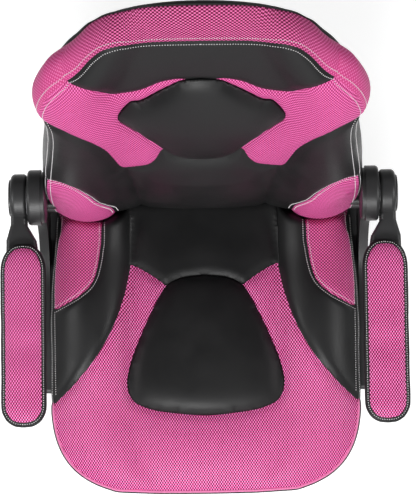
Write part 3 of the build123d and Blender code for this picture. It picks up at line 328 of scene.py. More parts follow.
# %% [markdown]
# ## From flat patterns to padded covers
# An upholsterer cuts panels flat, sews them into a cover and pulls it over foam. The same is done here. Every
# cover starts as a flat pattern: an outline, with the panels drawn on it. A Delaunay triangulation fills the
# pattern and keeps each seam as a line of edges. The flat points are then dropped onto the foam, which is the
# plain solid from the CAD model, and the seams are drawn in. Last, a short cloth simulation blows the fabric up
# between its seams, and the small puckers that it leaves are evened out.

# %% Curves on the pattern
MM = 0.001


def curve(points, step=5.0):
    """A smooth line through the points, cut into pieces of about one step."""
    fine = []
    count = len(points)
    for index in range(count - 1):
        before = Vector(points[max(index - 1, 0)])
        start = Vector(points[index])
        end = Vector(points[index + 1])
        after = Vector(points[min(index + 2, count - 1)])
        pieces = max(2, int((end - start).length / 1.5))
        for piece in range(pieces):
            t = piece / pieces
            square = (2 * before - 5 * start + 4 * end - after) * t * t
            cube = (3 * start - before - 3 * end + after) * t ** 3
            fine.append(0.5 * (2 * start + (end - before) * t + square + cube))
    fine.append(Vector(points[-1]))
    return resample(fine, step)


def resample(line, step):
    lengths = [0.0]
    for first, second in zip(line, line[1:]):
        lengths.append(lengths[-1] + (second - first).length)
    count = max(1, round(lengths[-1] / step))
    spaced = []
    index = 0
    for number in range(count + 1):
        target = lengths[-1] * number / count
        while index < len(line) - 2 and lengths[index + 1] < target:
            index += 1
        span = lengths[index + 1] - lengths[index]
        share = (target - lengths[index]) / span if span > 0 else 0.0
        spaced.append(line[index].lerp(line[index + 1], min(max(share, 0.0), 1.0)))
    return spaced


def mirrored(points):
    return [Vector((-point[0], *point[1:])) for point in points]


def loop_of(half):
    """An outline from its left half, which runs from the middle of one end to the middle of the other."""
    return list(half) + mirrored(half)[-2:0:-1]


def closed(outline):
    """The outline as a line that ends where it starts."""
    return outline + outline[:1]


def shifted(line, distance):
    """The line moved sideways, to its left for a positive distance."""
    moved = []
    for index, point in enumerate(line):
        ahead = line[min(index + 1, len(line) - 1)] - line[max(index - 1, 0)]
        side = Vector((-ahead.y, ahead.x)).normalized()
        moved.append(Vector((point.x, point.y)) + side * distance)
    return moved


print("pattern helpers ready")

# %% A foam surface to drop the pattern on
def skin_of(mesh):
    """A mesh's faces, ready to be met by rays."""
    return BVHTree.FromPolygons([vertex.co.copy() for vertex in mesh.vertices],
                                [list(face.vertices) for face in mesh.polygons])


class Foam:
    """The outside of a CAD solid as a smooth height over a flat pattern, sampled by straight rays."""

    CELL = 4.0
    RAY_START = 900
    FACES_OUT = 0.35

    def __init__(self, node, origin, right, up, low, high, blur):
        self.origin = Vector(origin) * MM
        self.right = Vector(right)
        self.up = Vector(up)
        self.out = self.right.cross(self.up)
        self.low = low
        self.skin = skin_of(nodes[node].data)
        columns = int((high[0] - low[0]) / self.CELL) + 1
        rows = int((high[1] - low[1]) / self.CELL) + 1
        self.heights = self.smoothed(self.sampled(rows, columns), blur)
        self.slopes = np.gradient(self.heights, self.CELL)

    def sampled(self, rows, columns):
        heights = np.full((rows, columns), np.nan)
        for row in range(rows):
            for column in range(columns):
                x = self.low[0] + column * self.CELL
                y = self.low[1] + row * self.CELL
                spot, normal, _, _ = self.skin.ray_cast(self.world(x, y, self.RAY_START), -self.out)
                if spot is not None and normal.dot(self.out) > self.FACES_OUT:
                    heights[row, column] = self.flat(spot).z
        while np.isnan(heights).any():
            spread = np.pad(heights, 1, constant_values=np.nan)
            around = np.stack([spread[y:y + rows, x:x + columns] for y in (0, 1, 2) for x in (0, 1, 2)])
            known = ~np.isnan(around)
            total = np.where(known, around, 0).sum(axis=0)
            number = known.sum(axis=0)
            grown = np.where(number > 0, total / np.maximum(number, 1), np.nan)
            heights = np.where(np.isnan(heights), grown, heights)
        return heights

    def smoothed(self, heights, blur):
        reach = int(3 * blur / self.CELL) + 1
        bell = np.exp(-0.5 * (np.arange(-reach, reach + 1) * self.CELL / blur) ** 2)
        bell /= bell.sum()
        for axis in (0, 1):
            margins = [(reach, reach) if side == axis else (0, 0) for side in (0, 1)]
            padded = np.pad(heights, margins, mode="edge")
            heights = np.apply_along_axis(lambda line: np.convolve(line, bell, mode="valid"), axis, padded)
        return heights

    def world(self, x, y, height=0.0):
        return self.origin + (self.right * x + self.up * y + self.out * height) * MM

    def flat(self, point):
        away = (point - self.origin) / MM
        return Vector((away.dot(self.right), away.dot(self.up), away.dot(self.out)))

    def read(self, table, x, y):
        """The table's value between its cells at (x, y)."""
        rows, columns = table.shape
        across = np.clip((np.asarray(x) - self.low[0]) / self.CELL, 0, columns - 1.001)
        along = np.clip((np.asarray(y) - self.low[1]) / self.CELL, 0, rows - 1.001)
        column = across.astype(int)
        row = along.astype(int)
        across = across - column
        along = along - row
        near_row = table[row, column] * (1 - across) + table[row, column + 1] * across
        far_row = table[row + 1, column] * (1 - across) + table[row + 1, column + 1] * across
        return near_row * (1 - along) + far_row * along

    def drop(self, flat_points):
        """Points of the foam over the flat points, and the outward direction at each, as two arrays."""
        x = np.array([point[0] for point in flat_points])
        y = np.array([point[1] for point in flat_points])
        height = self.read(self.heights, x, y)
        frame_axes = np.array([self.right, self.up, self.out])
        spots = np.array(self.origin) + np.stack([x, y, height], axis=1) @ frame_axes * MM
        tilt_x = self.read(self.slopes[1], x, y)
        tilt_y = self.read(self.slopes[0], x, y)
        normals = np.stack([-tilt_x, -tilt_y, np.ones_like(x)], axis=1)
        normals /= np.linalg.norm(normals, axis=1)[:, None]
        return spots, normals @ frame_axes


LEAN = math.radians(13.2)
BACK_UP = (0, math.sin(LEAN), math.cos(LEAN))
BACK_FOOT = (0, 205, 405)
seat_foam = Foam("seat_cushion", (0, 0, 371), (1, 0, 0), (0, 1, 0), (-272, -344), (272, 172), 7)
back_foam = Foam("back_cushion", BACK_FOOT, (1, 0, 0), BACK_UP, (-264, -8), (264, 776), 13)
print("seat heights", seat_foam.heights.shape, "back heights", back_foam.heights.shape)

# %% [markdown]
# The triangulation gets three kinds of points: the outline, the seams and a lattice of equilateral triangles
# between them. Points of the lattice that crowd a seam are left out. Each panel is a polygon too, and the
# triangulation reports which polygons every triangle lies in, so that a triangle can take the material of the
# topmost panel.

# %% Cutting the pattern
def finder(points):
    """A tree that finds the nearest of some flat points."""
    tree = KDTree(len(points))
    for number, point in enumerate(points):
        tree.insert((point.x, point.y, 0), number)
    tree.balance()
    return tree


def area_of(loop):
    """The area inside a loop, positive where it runs anticlockwise."""
    return sum(a[0] * b[1] - b[0] * a[1] for a, b in zip(loop, list(loop[1:]) + [loop[0]])) / 2


ROW_HEIGHT = 0.866
SEAM_CLEARANCE = 0.62


def cut_pattern(outline, panels, seams, spacing):
    """Fills the outline with triangles. Returns flat points, triangles, their panel numbers and seam points."""
    points = []
    edges = []
    faces = []

    def add_line(line, is_panel):
        start = len(points)
        line = [Vector((point[0], point[1])) for point in line]
        if is_panel and area_of(line) < 0:
            line.reverse()
        points.extend(line)
        numbers = list(range(start, len(points)))
        edges.extend(zip(numbers, numbers[1:]))
        if is_panel:
            edges.append((numbers[-1], numbers[0]))
            faces.append(numbers)

    for panel in [outline] + panels:
        add_line(panel, True)
    for seam in seams:
        add_line(seam, False)
    sewn = finder(points)
    low = [min(point[axis] for point in outline) for axis in (0, 1)]
    high = [max(point[axis] for point in outline) for axis in (0, 1)]
    row = 0
    y = low[1] + spacing * 0.4
    while y < high[1]:
        columns = int((high[0] - low[0]) / spacing / 2) + 1
        for column in range(-columns, columns + 1):
            x = (column + 0.5 * (row % 2)) * spacing
            if sewn.find((x, y, 0))[2] > spacing * SEAM_CLEARANCE:
                points.append(Vector((x, y)))
        y += spacing * ROW_HEIGHT
        row += 1
    filled = delaunay_2d_cdt(points, edges, faces, 0, 1e-4, True)
    flat, flat_edges, triangles, _, from_edges, from_faces = filled
    kept = [number for number, origin in enumerate(from_faces) if 0 in origin]
    used = sorted({corner for number in kept for corner in triangles[number]})
    renumber = {corner: number for number, corner in enumerate(used)}
    panel_of = [max(from_faces[number]) for number in kept]
    kept_triangles = [[renumber[corner] for corner in triangles[number]] for number in kept]
    seam_points = set()
    for edge, origin in zip(flat_edges, from_edges):
        if origin and edge[0] in renumber and edge[1] in renumber:
            seam_points.update((renumber[edge[0]], renumber[edge[1]]))
    return [flat[corner] for corner in used], kept_triangles, panel_of, seam_points


print("pattern cutter ready")

# %% Sewing a cover
def new_piece(name, cover, finishes_used):
    """A mesh object from a cover's points, faces, panel finishes and flat map."""
    mesh = bpy.data.meshes.new(name)
    mesh.from_pydata([tuple(point) for point in cover["points"]], [], cover["faces"])
    for finish in finishes_used:
        mesh.materials.append(finish)
    mesh.polygons.foreach_set("material_index", cover["finish"])
    layer = mesh.uv_layers.new(name="flat")
    corners = [corner for face in cover["flat"] for corner in face]
    layer.data.foreach_set("uv", [value for corner in corners for value in corner])
    piece = bpy.data.objects.new(name, mesh)
    scene.collection.objects.link(piece)
    return piece


EVENING_ROUNDS = 14
CLOTH_FRAMES = 20
STIFFNESS = 12.0


def evened(mesh, move, held):
    """A movement of the points with its small puckers averaged away, and none at the held points."""
    ends = np.array([edge.vertices for edge in mesh.edges])
    number = np.bincount(ends.ravel(), minlength=len(move))[:, None]
    for _ in range(EVENING_ROUNDS):
        total = np.zeros_like(move)
        np.add.at(total, ends[:, 0], move[ends[:, 1]])
        np.add.at(total, ends[:, 1], move[ends[:, 0]])
        move = 0.4 * move + 0.6 * total / np.maximum(number, 1)
        move[held] = 0
    return move


def blow_up(piece, held, pressure, most, give=-0.01):
    """Lets air pressure push the fabric out between its held points, by no more than most millimetres."""
    group = piece.vertex_groups.new(name="sewn")
    group.add([int(number) for number in held], 1.0, "REPLACE")
    before = np.array([vertex.co for vertex in piece.data.vertices])
    cloth = piece.modifiers.new("Padding", "CLOTH")
    fabric = cloth.settings
    fabric.quality = 4
    fabric.mass = 0.3
    fabric.tension_stiffness = STIFFNESS
    fabric.compression_stiffness = STIFFNESS
    fabric.shear_stiffness = STIFFNESS * 0.4
    fabric.bending_stiffness = 0.4
    fabric.air_damping = 3.0
    fabric.use_pressure = True
    fabric.uniform_pressure_force = pressure
    fabric.shrink_min = give
    fabric.vertex_group_mass = "sewn"
    fabric.effector_weights.gravity = 0.0
    cloth.collision_settings.use_collision = False
    cloth.point_cache.frame_start = 1
    cloth.point_cache.frame_end = CLOTH_FRAMES
    for number in range(1, CLOTH_FRAMES + 1):
        scene.frame_set(number)
    puffed = piece.evaluated_get(bpy.context.evaluated_depsgraph_get()).to_mesh()
    after = np.array([vertex.co for vertex in puffed.vertices])
    piece.modifiers.remove(cloth)
    piece.vertex_groups.clear()
    scene.frame_set(1)
    move = evened(piece.data, after - before, list(held))
    size = np.linalg.norm(move, axis=1)
    limit = most * MM
    scale = np.where(size > 1e-9, limit * np.tanh(size / limit) / np.maximum(size, 1e-9), 1.0)
    piece.data.vertices.foreach_set("co", (before + move * scale[:, None]).ravel())
    piece.data.update()
    print("  ", piece.name, "swelled by", round(float(size.max() / MM), 1), "mm, kept under", most)


print("sewing helpers ready")

# %% [markdown]
# ## The cover's side wall
# A cushion has a wall of fabric all round, called boxing, from the top seam to the board. It is a row of rings
# between the outline on the foam and a lower outline, each ring pushed out a little, so that the wall is full in
# the middle and drawn in at both seams.

# %% Boxing
def rim_of(triangles, first):
    """The outer edge of a triangulation as a ring of point numbers, starting at the given one."""
    sides = {}
    for face in triangles:
        for pair in zip(face, face[1:] + face[:1]):
            sides[pair] = sides.get(pair, 0) + 1
    after = {a: b for a, b in sides if (b, a) not in sides}
    ring = [first if first in after else next(iter(after))]
    while after[ring[-1]] != ring[0]:
        ring.append(after[ring[-1]])
    return ring


def closest(points, target):
    return min(range(len(points)), key=lambda number: (Vector(points[number][:2]) - Vector(target)).length)


def add_wall(cover, ring, lower, bulge_at, rows, finish_at):
    """Adds rings of points from a ring of the cover down to the lower points, and returns the last ring.
    The wall's bulge in millimetres and its finish are asked for by the ring's point numbers."""
    count = len(ring)
    top = [Vector(cover["points"][number]) for number in ring]
    middle = sum(top, Vector()) / count
    run = [0.0]
    for first, second in zip(top, top[1:] + top[:1]):
        run.append(run[-1] + (second - first).length)
    outward = []
    for index in range(count):
        along = top[(index + 2) % count] - top[index - 2]
        outward.append(along.cross(lower[index] - top[index]).normalized())
    if sum(way.dot(point - middle) for way, point in zip(outward, top)) < 0:
        outward = [-way for way in outward]
    last = list(ring)
    for row in range(1, rows + 1):
        share = row / rows
        new = []
        for index in range(count):
            swell = bulge_at(ring[index]) * MM * 4 * share * (1 - share)
            new.append(len(cover["points"]))
            cover["points"].append(top[index].lerp(lower[index], share) + outward[index] * swell)
        for index in range(count):
            after = (index + 1) % count
            depth = (top[index] - lower[index]).length
            cover["faces"].append([last[index], new[index], new[after], last[after]])
            cover["finish"].append(finish_at(ring[index]))
            high = -(share - 1 / rows) * depth
            low = -share * depth
            start, end = run[index:index + 2]
            cover["flat"].append([(start, high), (start, low), (end, low), (end, high)])
        last = new
    cover["wall"] = list(zip(ring, top, lower, outward))
    return last


def start_cover(spots, flat, triangles, finish):
    return {
        "points": [Vector(spot) for spot in spots],
        "faces": [list(face) for face in triangles],
        "finish": list(finish),
        "flat": [[(flat[corner].x * MM, flat[corner].y * MM) for corner in face] for face in triangles],
    }


print("boxing helpers ready")

# %% [markdown]
# ## Seat cover
# Seen from above, the seat is pink mesh with a black pad in its middle. Raised black bolsters run along both
# sides, each with a pink insert, and sweep out to the edge near the front. A black panel fills the rear between
# them. The side wall is black. Each line is drawn for the left side and mirrored.

# %% Seat pattern
SEAT_HALF = 267.0
SEAT_FRONT = -339.0
SEAT_REAR = 164.0
FRONT_ROUND = 200.0
FRONT_POWER = 3.3
REAR_TAPER = 14.5
EDGE_INSET = 3.0


def seat_half(y):
    """Half width of the seat at y: round towards the front, slightly tapered towards the rear."""
    into = min(1.0, max(0.0, (SEAT_FRONT + FRONT_ROUND - y) / FRONT_ROUND))
    return SEAT_HALF * (1 - into ** FRONT_POWER) ** (1 / FRONT_POWER) - REAR_TAPER * max(0.0, y / 158) ** 1.6


side_places = (150, 110, 60, 10, -40, -90, -130, -165, -195, -220, -240, -258, -273, -286, -297, -306, -314, -320,
               -325, -328.5)
seat_side = [(EDGE_INSET - seat_half(y), y) for y in side_places]
seat_left = curve([(0, SEAT_REAR), (-60, SEAT_REAR), (-150, SEAT_REAR), (-222, SEAT_REAR - 1)], 6)
seat_left += curve([(-235, SEAT_REAR - 4)] + seat_side + [(-100, -331), (-50, -332.2), (0, -332.5)], 6)
seat_outline = loop_of(seat_left)

inner_seam = curve([
    (-125, 200), (-125, 129), (-125.5, 69), (-126, 53), (-128.7, 37), (-131.5, 21.5), (-135, 5.5), (-140, -10),
    (-145, -26), (-151.7, -41.6), (-159, -57), (-167.3, -72.6), (-177, -88), (-188, -103.5), (-200.5, -118.9),
    (-214.8, -134), (-229, -149.2), (-246, -164.2), (-262, -179), (-285, -199),
], 4)
bolster = inner_seam + [Vector((-330, -199)), Vector((-330, 200))]
insert_side = curve([(-248, 200), (-249.5, 130), (-254.5, 105), (-257.5, 85), (-259.7, 65), (-261, 45),
                     (-262, 20), (-262, -15)])
insert_inner = curve([(-258, -16.5), (-239, -8), (-217, 3.5), (-198, 19), (-188.5, 34), (-183.5, 50), (-180, 67),
                      (-177.5, 85), (-175.5, 105), (-175, 200)])
insert = insert_side + insert_inner
rear_seam = curve([(-127, 60), (-113, 53.5), (-88, 38), (-67, 22.5)])
rear_left = [Vector((-125, 200))] + [point for point in inner_seam if 61 < point.y < 199] + rear_seam
rear_panel = rear_left + mirrored(rear_seam)[::-1] + [Vector((125, 200))]
pad_outline = loop_of(curve([
    (0, 41), (-22, 39), (-46, 34), (-65, 23.5), (-77, 6.4), (-85.5, -9), (-100.6, -40), (-114, -71), (-125, -102),
    (-132.3, -133), (-133.3, -148.6), (-131, -164), (-121.5, -179.4), (-100, -189.5), (-77.5, -195), (-30, -201),
    (0, -203),
]))
seat_panels = [bolster, mirrored(bolster), rear_panel, insert, mirrored(insert), pad_outline]
seat_finish = [0, 1, 1, 1, 2, 2, 1]
print("seat outline points", len(seat_outline), "panels", len(seat_panels))


# %% Distances on the pattern
def near(flat, lines, reach):
    """For each flat point, how close it lies to the lines: 1 on a line, 0 at reach millimetres away."""
    tree = finder([point for line in lines for point in resample([Vector((p[0], p[1])) for p in line], 1.0)])
    gaps = np.array([tree.find((point[0], point[1], 0))[2] for point in flat])
    return np.clip(1 - gaps / reach, 0, 1)


def inside(outline, points):
    """Which of the points lie inside the outline."""
    x = np.array([point[0] for point in points])
    y = np.array([point[1] for point in points])
    hit = np.zeros(len(points), bool)
    for first, second in zip(outline, list(outline[1:]) + [outline[0]]):
        crosses = (first[1] > y) != (second[1] > y)
        rise = second[1] - first[1] if second[1] != first[1] else 1e-9
        hit ^= crosses & (x < (second[0] - first[0]) * (y - first[1]) / rise + first[0])
    return hit


def sunk_under(outline, flat, depth):
    """How far the cover sinks under a pad: nothing at the pad's outline, the full depth 12 mm inside it."""
    within = 1 - near(flat, [closed(outline)], 12)
    return np.where(inside(outline, flat), depth * within * within * (3 - 2 * within), 0.0)


def drawn_in(flat, seams, reach, depth):
    """How far the seams draw the cover in: the full depth on a seam, fading to nothing at reach."""
    return depth * near(flat, seams, reach) ** 2


def drape(foam, outline, panels, seams, spacing, pulls, pushes=()):
    """Cuts a pattern and lays it on the foam. A pull is some seams with their reach and depth, and a push gives
    a depth for each flat point. Returns what cut_pattern does, and the points on the foam."""
    flat, triangles, panel_of, sewn = cut_pattern(outline, panels, seams, spacing)
    spots, outward = foam.drop(flat)
    sink = sum(drawn_in(flat, *pull) for pull in pulls)
    for push in pushes:
        sink = sink + push(flat)
    return flat, triangles, panel_of, sewn, spots - outward * (sink * MM)[:, None]


print("pattern distances ready")

# %% Seat cover
PAD_SINK = 5.0
seat_seams = [inner_seam, mirrored(inner_seam), insert, mirrored(insert), rear_seam, mirrored(rear_seam),
              closed(pad_outline)]
flat, triangles, panel_of, sewn, spots = drape(
    seat_foam, seat_outline, seat_panels, [], 6.0,
    [(seat_seams, 16, 4.5), ([closed(seat_outline)], 12, 2.0)],
    [lambda points: sunk_under(pad_outline, points, PAD_SINK)],
)
ring = rim_of(triangles, closest(flat, (0, SEAT_REAR)))
seat_sewn = start_cover(spots, flat, triangles, [seat_finish[panel] for panel in panel_of])
FOOT_INSET = 8
FOOT_HEIGHT = 0.3725
foot = []
for number in ring:
    spot = flat[number]
    way = Vector((spot.x, 0 if spot.y > -150 else (spot.y + 150) * 1.2)).normalized()
    if spot.y > SEAT_REAR - 6:
        way = Vector((0, 1))
    foot.append(Vector(((spot.x - way.x * FOOT_INSET) * MM, (spot.y - way.y * FOOT_INSET) * MM, FOOT_HEIGHT)))
last = add_wall(seat_sewn, ring, foot, lambda number: 8.0, 10, lambda number: 1)
under_pad = np.nonzero(inside(pad_outline, flat))[0]
held = set(sewn) | set(last) | set(under_pad)
seat_cover = new_piece("seat_cover", seat_sewn, [pink_mesh, black_leather, shaded_insert_mesh])
blow_up(seat_cover, held, 3.5, 5.0, -0.005)
print("seat cover:", len(seat_cover.data.vertices), "points before smoothing")


# %% Closing the underside
def close_below(piece, finish_number):
    """Fills the open ring at the end of the wall with one flat face."""
    work = bmesh.new()
    work.from_mesh(piece.data)
    rim = [edge for edge in work.edges if edge.is_boundary]
    made = bmesh.ops.contextual_create(work, geom=rim)["faces"]
    for face in made:
        face.material_index = finish_number
    bmesh.ops.recalc_face_normals(work, faces=work.faces)
    work.to_mesh(piece.data)
    work.free()
    return len(made)


def crease_seams(piece, seam_points, strength):
    """Marks the edges between seam points as creases, so that smoothing keeps the seams crisp."""
    layer = piece.data.attributes.new("crease_edge", "FLOAT", "EDGE")
    layer.data.foreach_set("value", [strength if set(edge.vertices) <= seam_points else 0.0
                                     for edge in piece.data.edges])


def finish_soft(piece, body, replaced):
    """Smooths a soft piece, parents it to the body it rides on, and hides the CAD parts that it replaces."""
    smoother = piece.modifiers.new("Smooth", "SUBSURF")
    smoother.levels = 1
    smoother.render_levels = 1
    smoother.use_limit_surface = False
    bpy.context.view_layer.objects.active = piece
    bpy.ops.object.modifier_apply(modifier=smoother.name)
    piece.data.polygons.foreach_set("use_smooth", [True] * len(piece.data.polygons))
    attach(piece, body)
    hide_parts(*replaced)


crease_seams(seat_cover, sewn, 0.5)
finish_soft(seat_cover, "seat", ["seat_cushion"])
close_below(seat_cover, 1)
print("seat cover:", len(seat_cover.data.vertices), "points after smoothing")

# %% [markdown]
# ## Pads sewn onto a cover
# Two black pads are sewn on: one in the middle of the seat and a six-sided one high on the back. Each is a
# closed form of two sheets that share a rim. The upper sheet rises quickly from the rim to a soft dome, as a pad
# of firm foam does, and the dome is the form a soap film takes over the rim. The lower sheet follows the cushion
# below it.

# %% Pad builder
FILM_ROUNDS = 1500
RIM_DEPTH = 3.0
UNDERSIDE_DEPTH = 4.5


def film_over(triangles, ring, count):
    """The height of a blown-up soap film at each point, held down along the ring, from 0 to 1."""
    first = np.array([a for face in triangles for a in face])
    second = np.array([b for face in triangles for b in face[1:] + face[:1]])
    number = np.bincount(first, minlength=count) + np.bincount(second, minlength=count)
    height = np.zeros(count)
    for _ in range(FILM_ROUNDS):
        total = np.bincount(first, height[second], count) + np.bincount(second, height[first], count)
        height = total / np.maximum(number, 1) + 1
        height[list(ring)] = 0
    return height / height.max()


def sewn_pad(name, foam, outline, rise, dome, finish):
    """A closed pad on the foam. A quick shoulder lifts it off its rim, and a slow dome crowns its middle."""
    flat, triangles, _, _ = cut_pattern(outline, [], [], 5.5)
    ring = set(rim_of(triangles, 0))
    spots, outward = foam.drop(flat)
    film = film_over(triangles, ring, len(flat))
    height = rise * (1 - (1 - film) ** 5) + dome * film
    upper = spots + outward * ((height - RIM_DEPTH) * MM)[:, None]
    lower = spots - outward * (UNDERSIDE_DEPTH * MM)
    pad = start_cover(upper, flat, triangles, [0] * len(triangles))
    below = {}
    for number in range(len(flat)):
        if number in ring:
            below[number] = number
        else:
            below[number] = len(pad["points"])
            pad["points"].append(Vector(lower[number]))
    for face in triangles:
        pad["faces"].append([below[corner] for corner in reversed(face)])
        pad["finish"].append(0)
        pad["flat"].append([(flat[corner].x * MM, flat[corner].y * MM) for corner in reversed(face)])
    return new_piece(name, pad, [finish])


# %% Seat pad
seat_pad = sewn_pad("seat_pad", seat_foam, pad_outline, 11.0, 7.0, black_leather)
finish_soft(seat_pad, "seat", ["seat_centre_pad"])
print("seat pad:", len(seat_pad.data.vertices), "points")

# %% [markdown]
# ## Back cover
# The back is one cover too. Its base is pink and shows as the two shoulder wings, which run down to a point
# between lumbar panel and bolsters. A black lens crosses the top, the lower half is black, and a pink patch sits
# low on each bolster. The pattern is flat on the leaning back, so x runs across it and y runs up it. Each point
# of the outline comes with its partner on the rear edge, where the side wall ends.

# %% Back pattern
back_left = curve([
    (0, 707.5, 0, 764), (-40, 706.5, -45, 763), (-80, 704.5, -84, 757), (-100, 709, -101, 750),
    (-118, 713.5, -116, 742), (-133, 710.5, -131, 733), (-147, 703, -143, 722), (-164, 684.5, -158, 702),
    (-180, 661, -170, 679), (-199, 638, -182, 651), (-221, 610, -199, 618), (-238, 578, -215, 580),
    (-247, 545, -230, 548), (-248, 522, -234, 521), (-242, 505, -234, 505), (-237, 490, -233, 490),
    (-237.5, 450, -232, 450), (-241, 410, -232, 411), (-246.5, 352, -235, 353), (-251.7, 300, -238, 301),
    (-256.5, 240, -240, 240), (-258, 205, -241, 205), (-258, 130, -240, 128), (-254, 60, -235, 58),
    (-242, 18, -223, 8),
], 8)
back_left += curve([(-230, 7, -212, 2), (-150, 3, -140, 0.5), (-70, 2, -65, 0.5), (0, 2, 0, 0.5)], 9)
back_outline = loop_of([point.xy for point in back_left])
back_rear = loop_of([Vector((point[2], point[3])) for point in back_left])
lens_edge = curve([
    (-235, 650), (-197.9, 635), (-190.6, 633), (-181.2, 629.3), (-172, 624), (-162.6, 617), (-153.6, 606.5),
    (-144.7, 590.5), (-136.5, 574), (-129, 566), (-120.8, 563.5), (-112, 564.4), (-103, 566.8), (-93.7, 570.5),
    (-84.5, 576.6), (-77, 582.5), (-67.7, 590), (-58.6, 595.6), (-49.5, 599), (-40, 602), (-30, 603), (-20, 601),
    (0, 597),
])
lens = [Vector((-235, 800))] + lens_edge + mirrored(lens_edge)[-2::-1] + [Vector((235, 800))]
wing_low = curve([
    (-275, 519), (-237.6, 511), (-228.3, 509), (-219.1, 507), (-210.1, 502.5), (-201.3, 495.5), (-192.2, 487.7),
    (-183.2, 478.1), (-174, 466.6), (-164.9, 451.7), (-156, 432.5), (-147.2, 406.6), (-139.3, 371.8),
    (-131.8, 335.7), (-126, 322.5),
])
wing_low += curve([(-123.5, 321.5), (-114, 320.7), (-104.6, 324.7), (-94.8, 332), (-85, 340.8), (-75, 358.3),
                   (-65.7, 385), (-57, 396)])
lower_back = wing_low + mirrored(wing_low)[::-1] + [Vector((275, -60)), Vector((-275, -60))]
bolster_seam = curve([(-120, 317), (-118, 298), (-113, 264), (-109, 212), (-106, 154), (-106, 97), (-108, -20)])
patch_edge = curve([
    (-275, 254), (-257, 264), (-243.6, 273.5), (-232.5, 281.4), (-222.2, 284.1), (-212.5, 282.5), (-203.2, 275),
    (-194, 261), (-185, 240.5), (-176.3, 211), (-168, 188), (-158, 152), (-152, 105), (-150, -20),
])
patch = patch_edge + [Vector((-275, -20))]
head_outline = loop_of(curve([
    (0, 605), (-22, 602), (-34, 597), (-43, 589.5), (-61.5, 573.5), (-80, 555), (-89.5, 546), (-98, 541.5),
    (-107, 540), (-117, 526), (-125.5, 510), (-128, 499), (-126, 486), (-119, 473), (-101, 451), (-83, 427),
    (-65, 401), (-52, 381), (-38, 368), (-15, 363), (0, 363),
]))
back_panels = [lower_back, lens, patch, mirrored(patch), head_outline]
back_finish = [0, 1, 1, 0, 0, 1]
print("back outline points", len(back_outline), "panels", len(back_panels))


# %% Back cover
def partner(outline, partners, spot):
    """The point of the partner outline that belongs to a spot on the outline."""
    best = None
    for index in range(len(outline)):
        after = (index + 1) % len(outline)
        way = outline[after] - outline[index]
        share = min(1.0, max(0.0, (spot - outline[index]).dot(way) / max(way.length_squared, 1e-9)))
        gap = (outline[index] + way * share - spot).length
        if best is None or gap < best[0]:
            best = (gap, partners[index].lerp(partners[after], share))
    return best[1]


BAND_FOOT = 503
WALL_SWELL = ((0, 9), (90, 14), (350, 14), (440, 11), (500, 13), (525, 17), (570, 21), (605, 24), (650, 14),
              (690, 7), (780, 5))
LUMBAR_HALF = 106
HEEL_GAP = 0.6


def heel_height(y):
    """How far in front of the board the side wall meets the rear panel: furthest over the top."""
    return float(np.interp(y, (690, 745), (0.2, 3.2)))


def lumbar_swell(flat):
    """How far the lumbar panel swells between the bolsters, most a hand below the head pad."""
    across = np.array([point[0] for point in flat]) / LUMBAR_HALF
    up = np.interp([point[1] for point in flat], (60, 180, 290, 340, 385), (0, 9, 15, 9, 0))
    return np.maximum(0, 1 - across ** 2) * up


def back_bulge(y):
    """How far the side wall stands out at a height: most at the wings, little over the top."""
    return float(np.interp(y, *zip(*WALL_SWELL)))


back_seams = [lens_edge, mirrored(lens_edge), wing_low, mirrored(wing_low), bolster_seam, mirrored(bolster_seam),
              patch_edge, mirrored(patch_edge), closed(head_outline)]
flat, triangles, panel_of, sewn, spots = drape(
    back_foam, back_outline, back_panels, [bolster_seam, mirrored(bolster_seam)], 6.5,
    [(back_seams, 18, 4.5), ([closed(back_outline)], 14, 2.5)],
    [lambda points: sunk_under(head_outline, points, PAD_SINK), lambda points: -lumbar_swell(points)],
)
ring = rim_of(triangles, closest(flat, (0, 2)))
back_sewn = start_cover(spots, flat, triangles, [back_finish[panel] for panel in panel_of])
heel = []
for number in ring:
    rear = partner(back_outline, back_rear, Vector(flat[number].xy))
    heel.append(back_foam.world(rear.x, rear.y, heel_height(rear.y) + HEEL_GAP))
back_flat = flat
last = add_wall(back_sewn, ring, heel, lambda number: back_bulge(back_flat[number].y), 9,
                lambda number: 2 if back_flat[number].y > BAND_FOOT else 1)
under_head = np.nonzero(inside(head_outline, flat))[0]
held = set(sewn) | set(last) | set(under_head)
back_cover = new_piece("back_cover", back_sewn, [wing_mesh, black_leather, shaded_band_mesh])
blow_up(back_cover, held, 3.5, 6.0, -0.003)
crease_seams(back_cover, sewn, 0.5)
finish_soft(back_cover, "seat", ["back_cushion"])
close_below(back_cover, 1)
print("back cover:", len(back_cover.data.vertices), "points after smoothing")

# %% Head pad
head_pad = sewn_pad("head_pad", back_foam, head_outline, 11.0, 12.0, black_leather)
finish_soft(head_pad, "seat", ["back_pad"])
print("head pad:", len(head_pad.data.vertices), "points")

# %% [markdown]
# ## Rear of the back
# Behind, a black panel closes the back. The photograph shows only its upper edge, so it gets a plain design: one
# border seam parallel to the edge, and a flat middle.

# %% Rear panel
rear_foam = Foam("back_rear_cover", BACK_FOOT, (-1, 0, 0), BACK_UP, (-252, -8), (252, 776), 7)
rear_loop = resample(closed(back_rear), 8)[:-1]
middle = Vector((0, 380))
rear_border = [middle + (point - middle) * Vector((0.82, 0.88)) for point in rear_loop]
flat, triangles, panel_of, sewn, spots = drape(
    rear_foam, rear_loop, [rear_border], [], 7.5,
    [([closed(rear_border)], 18, 4.0), ([closed(rear_loop)], 14, 5.0)],
)
ring = rim_of(triangles, closest(flat, (0, 0)))
rear_sewn = start_cover(spots, flat, triangles, [0] * len(triangles))
front = [back_foam.world(-flat[number].x, flat[number].y, heel_height(flat[number].y)) for number in ring]
last = add_wall(rear_sewn, ring, front, lambda number: 1.5, 3, lambda number: 0)
rear_panel_cover = new_piece("rear_panel", rear_sewn, [edge_leather])
blow_up(rear_panel_cover, set(sewn) | set(last), 4.0, 5.0)
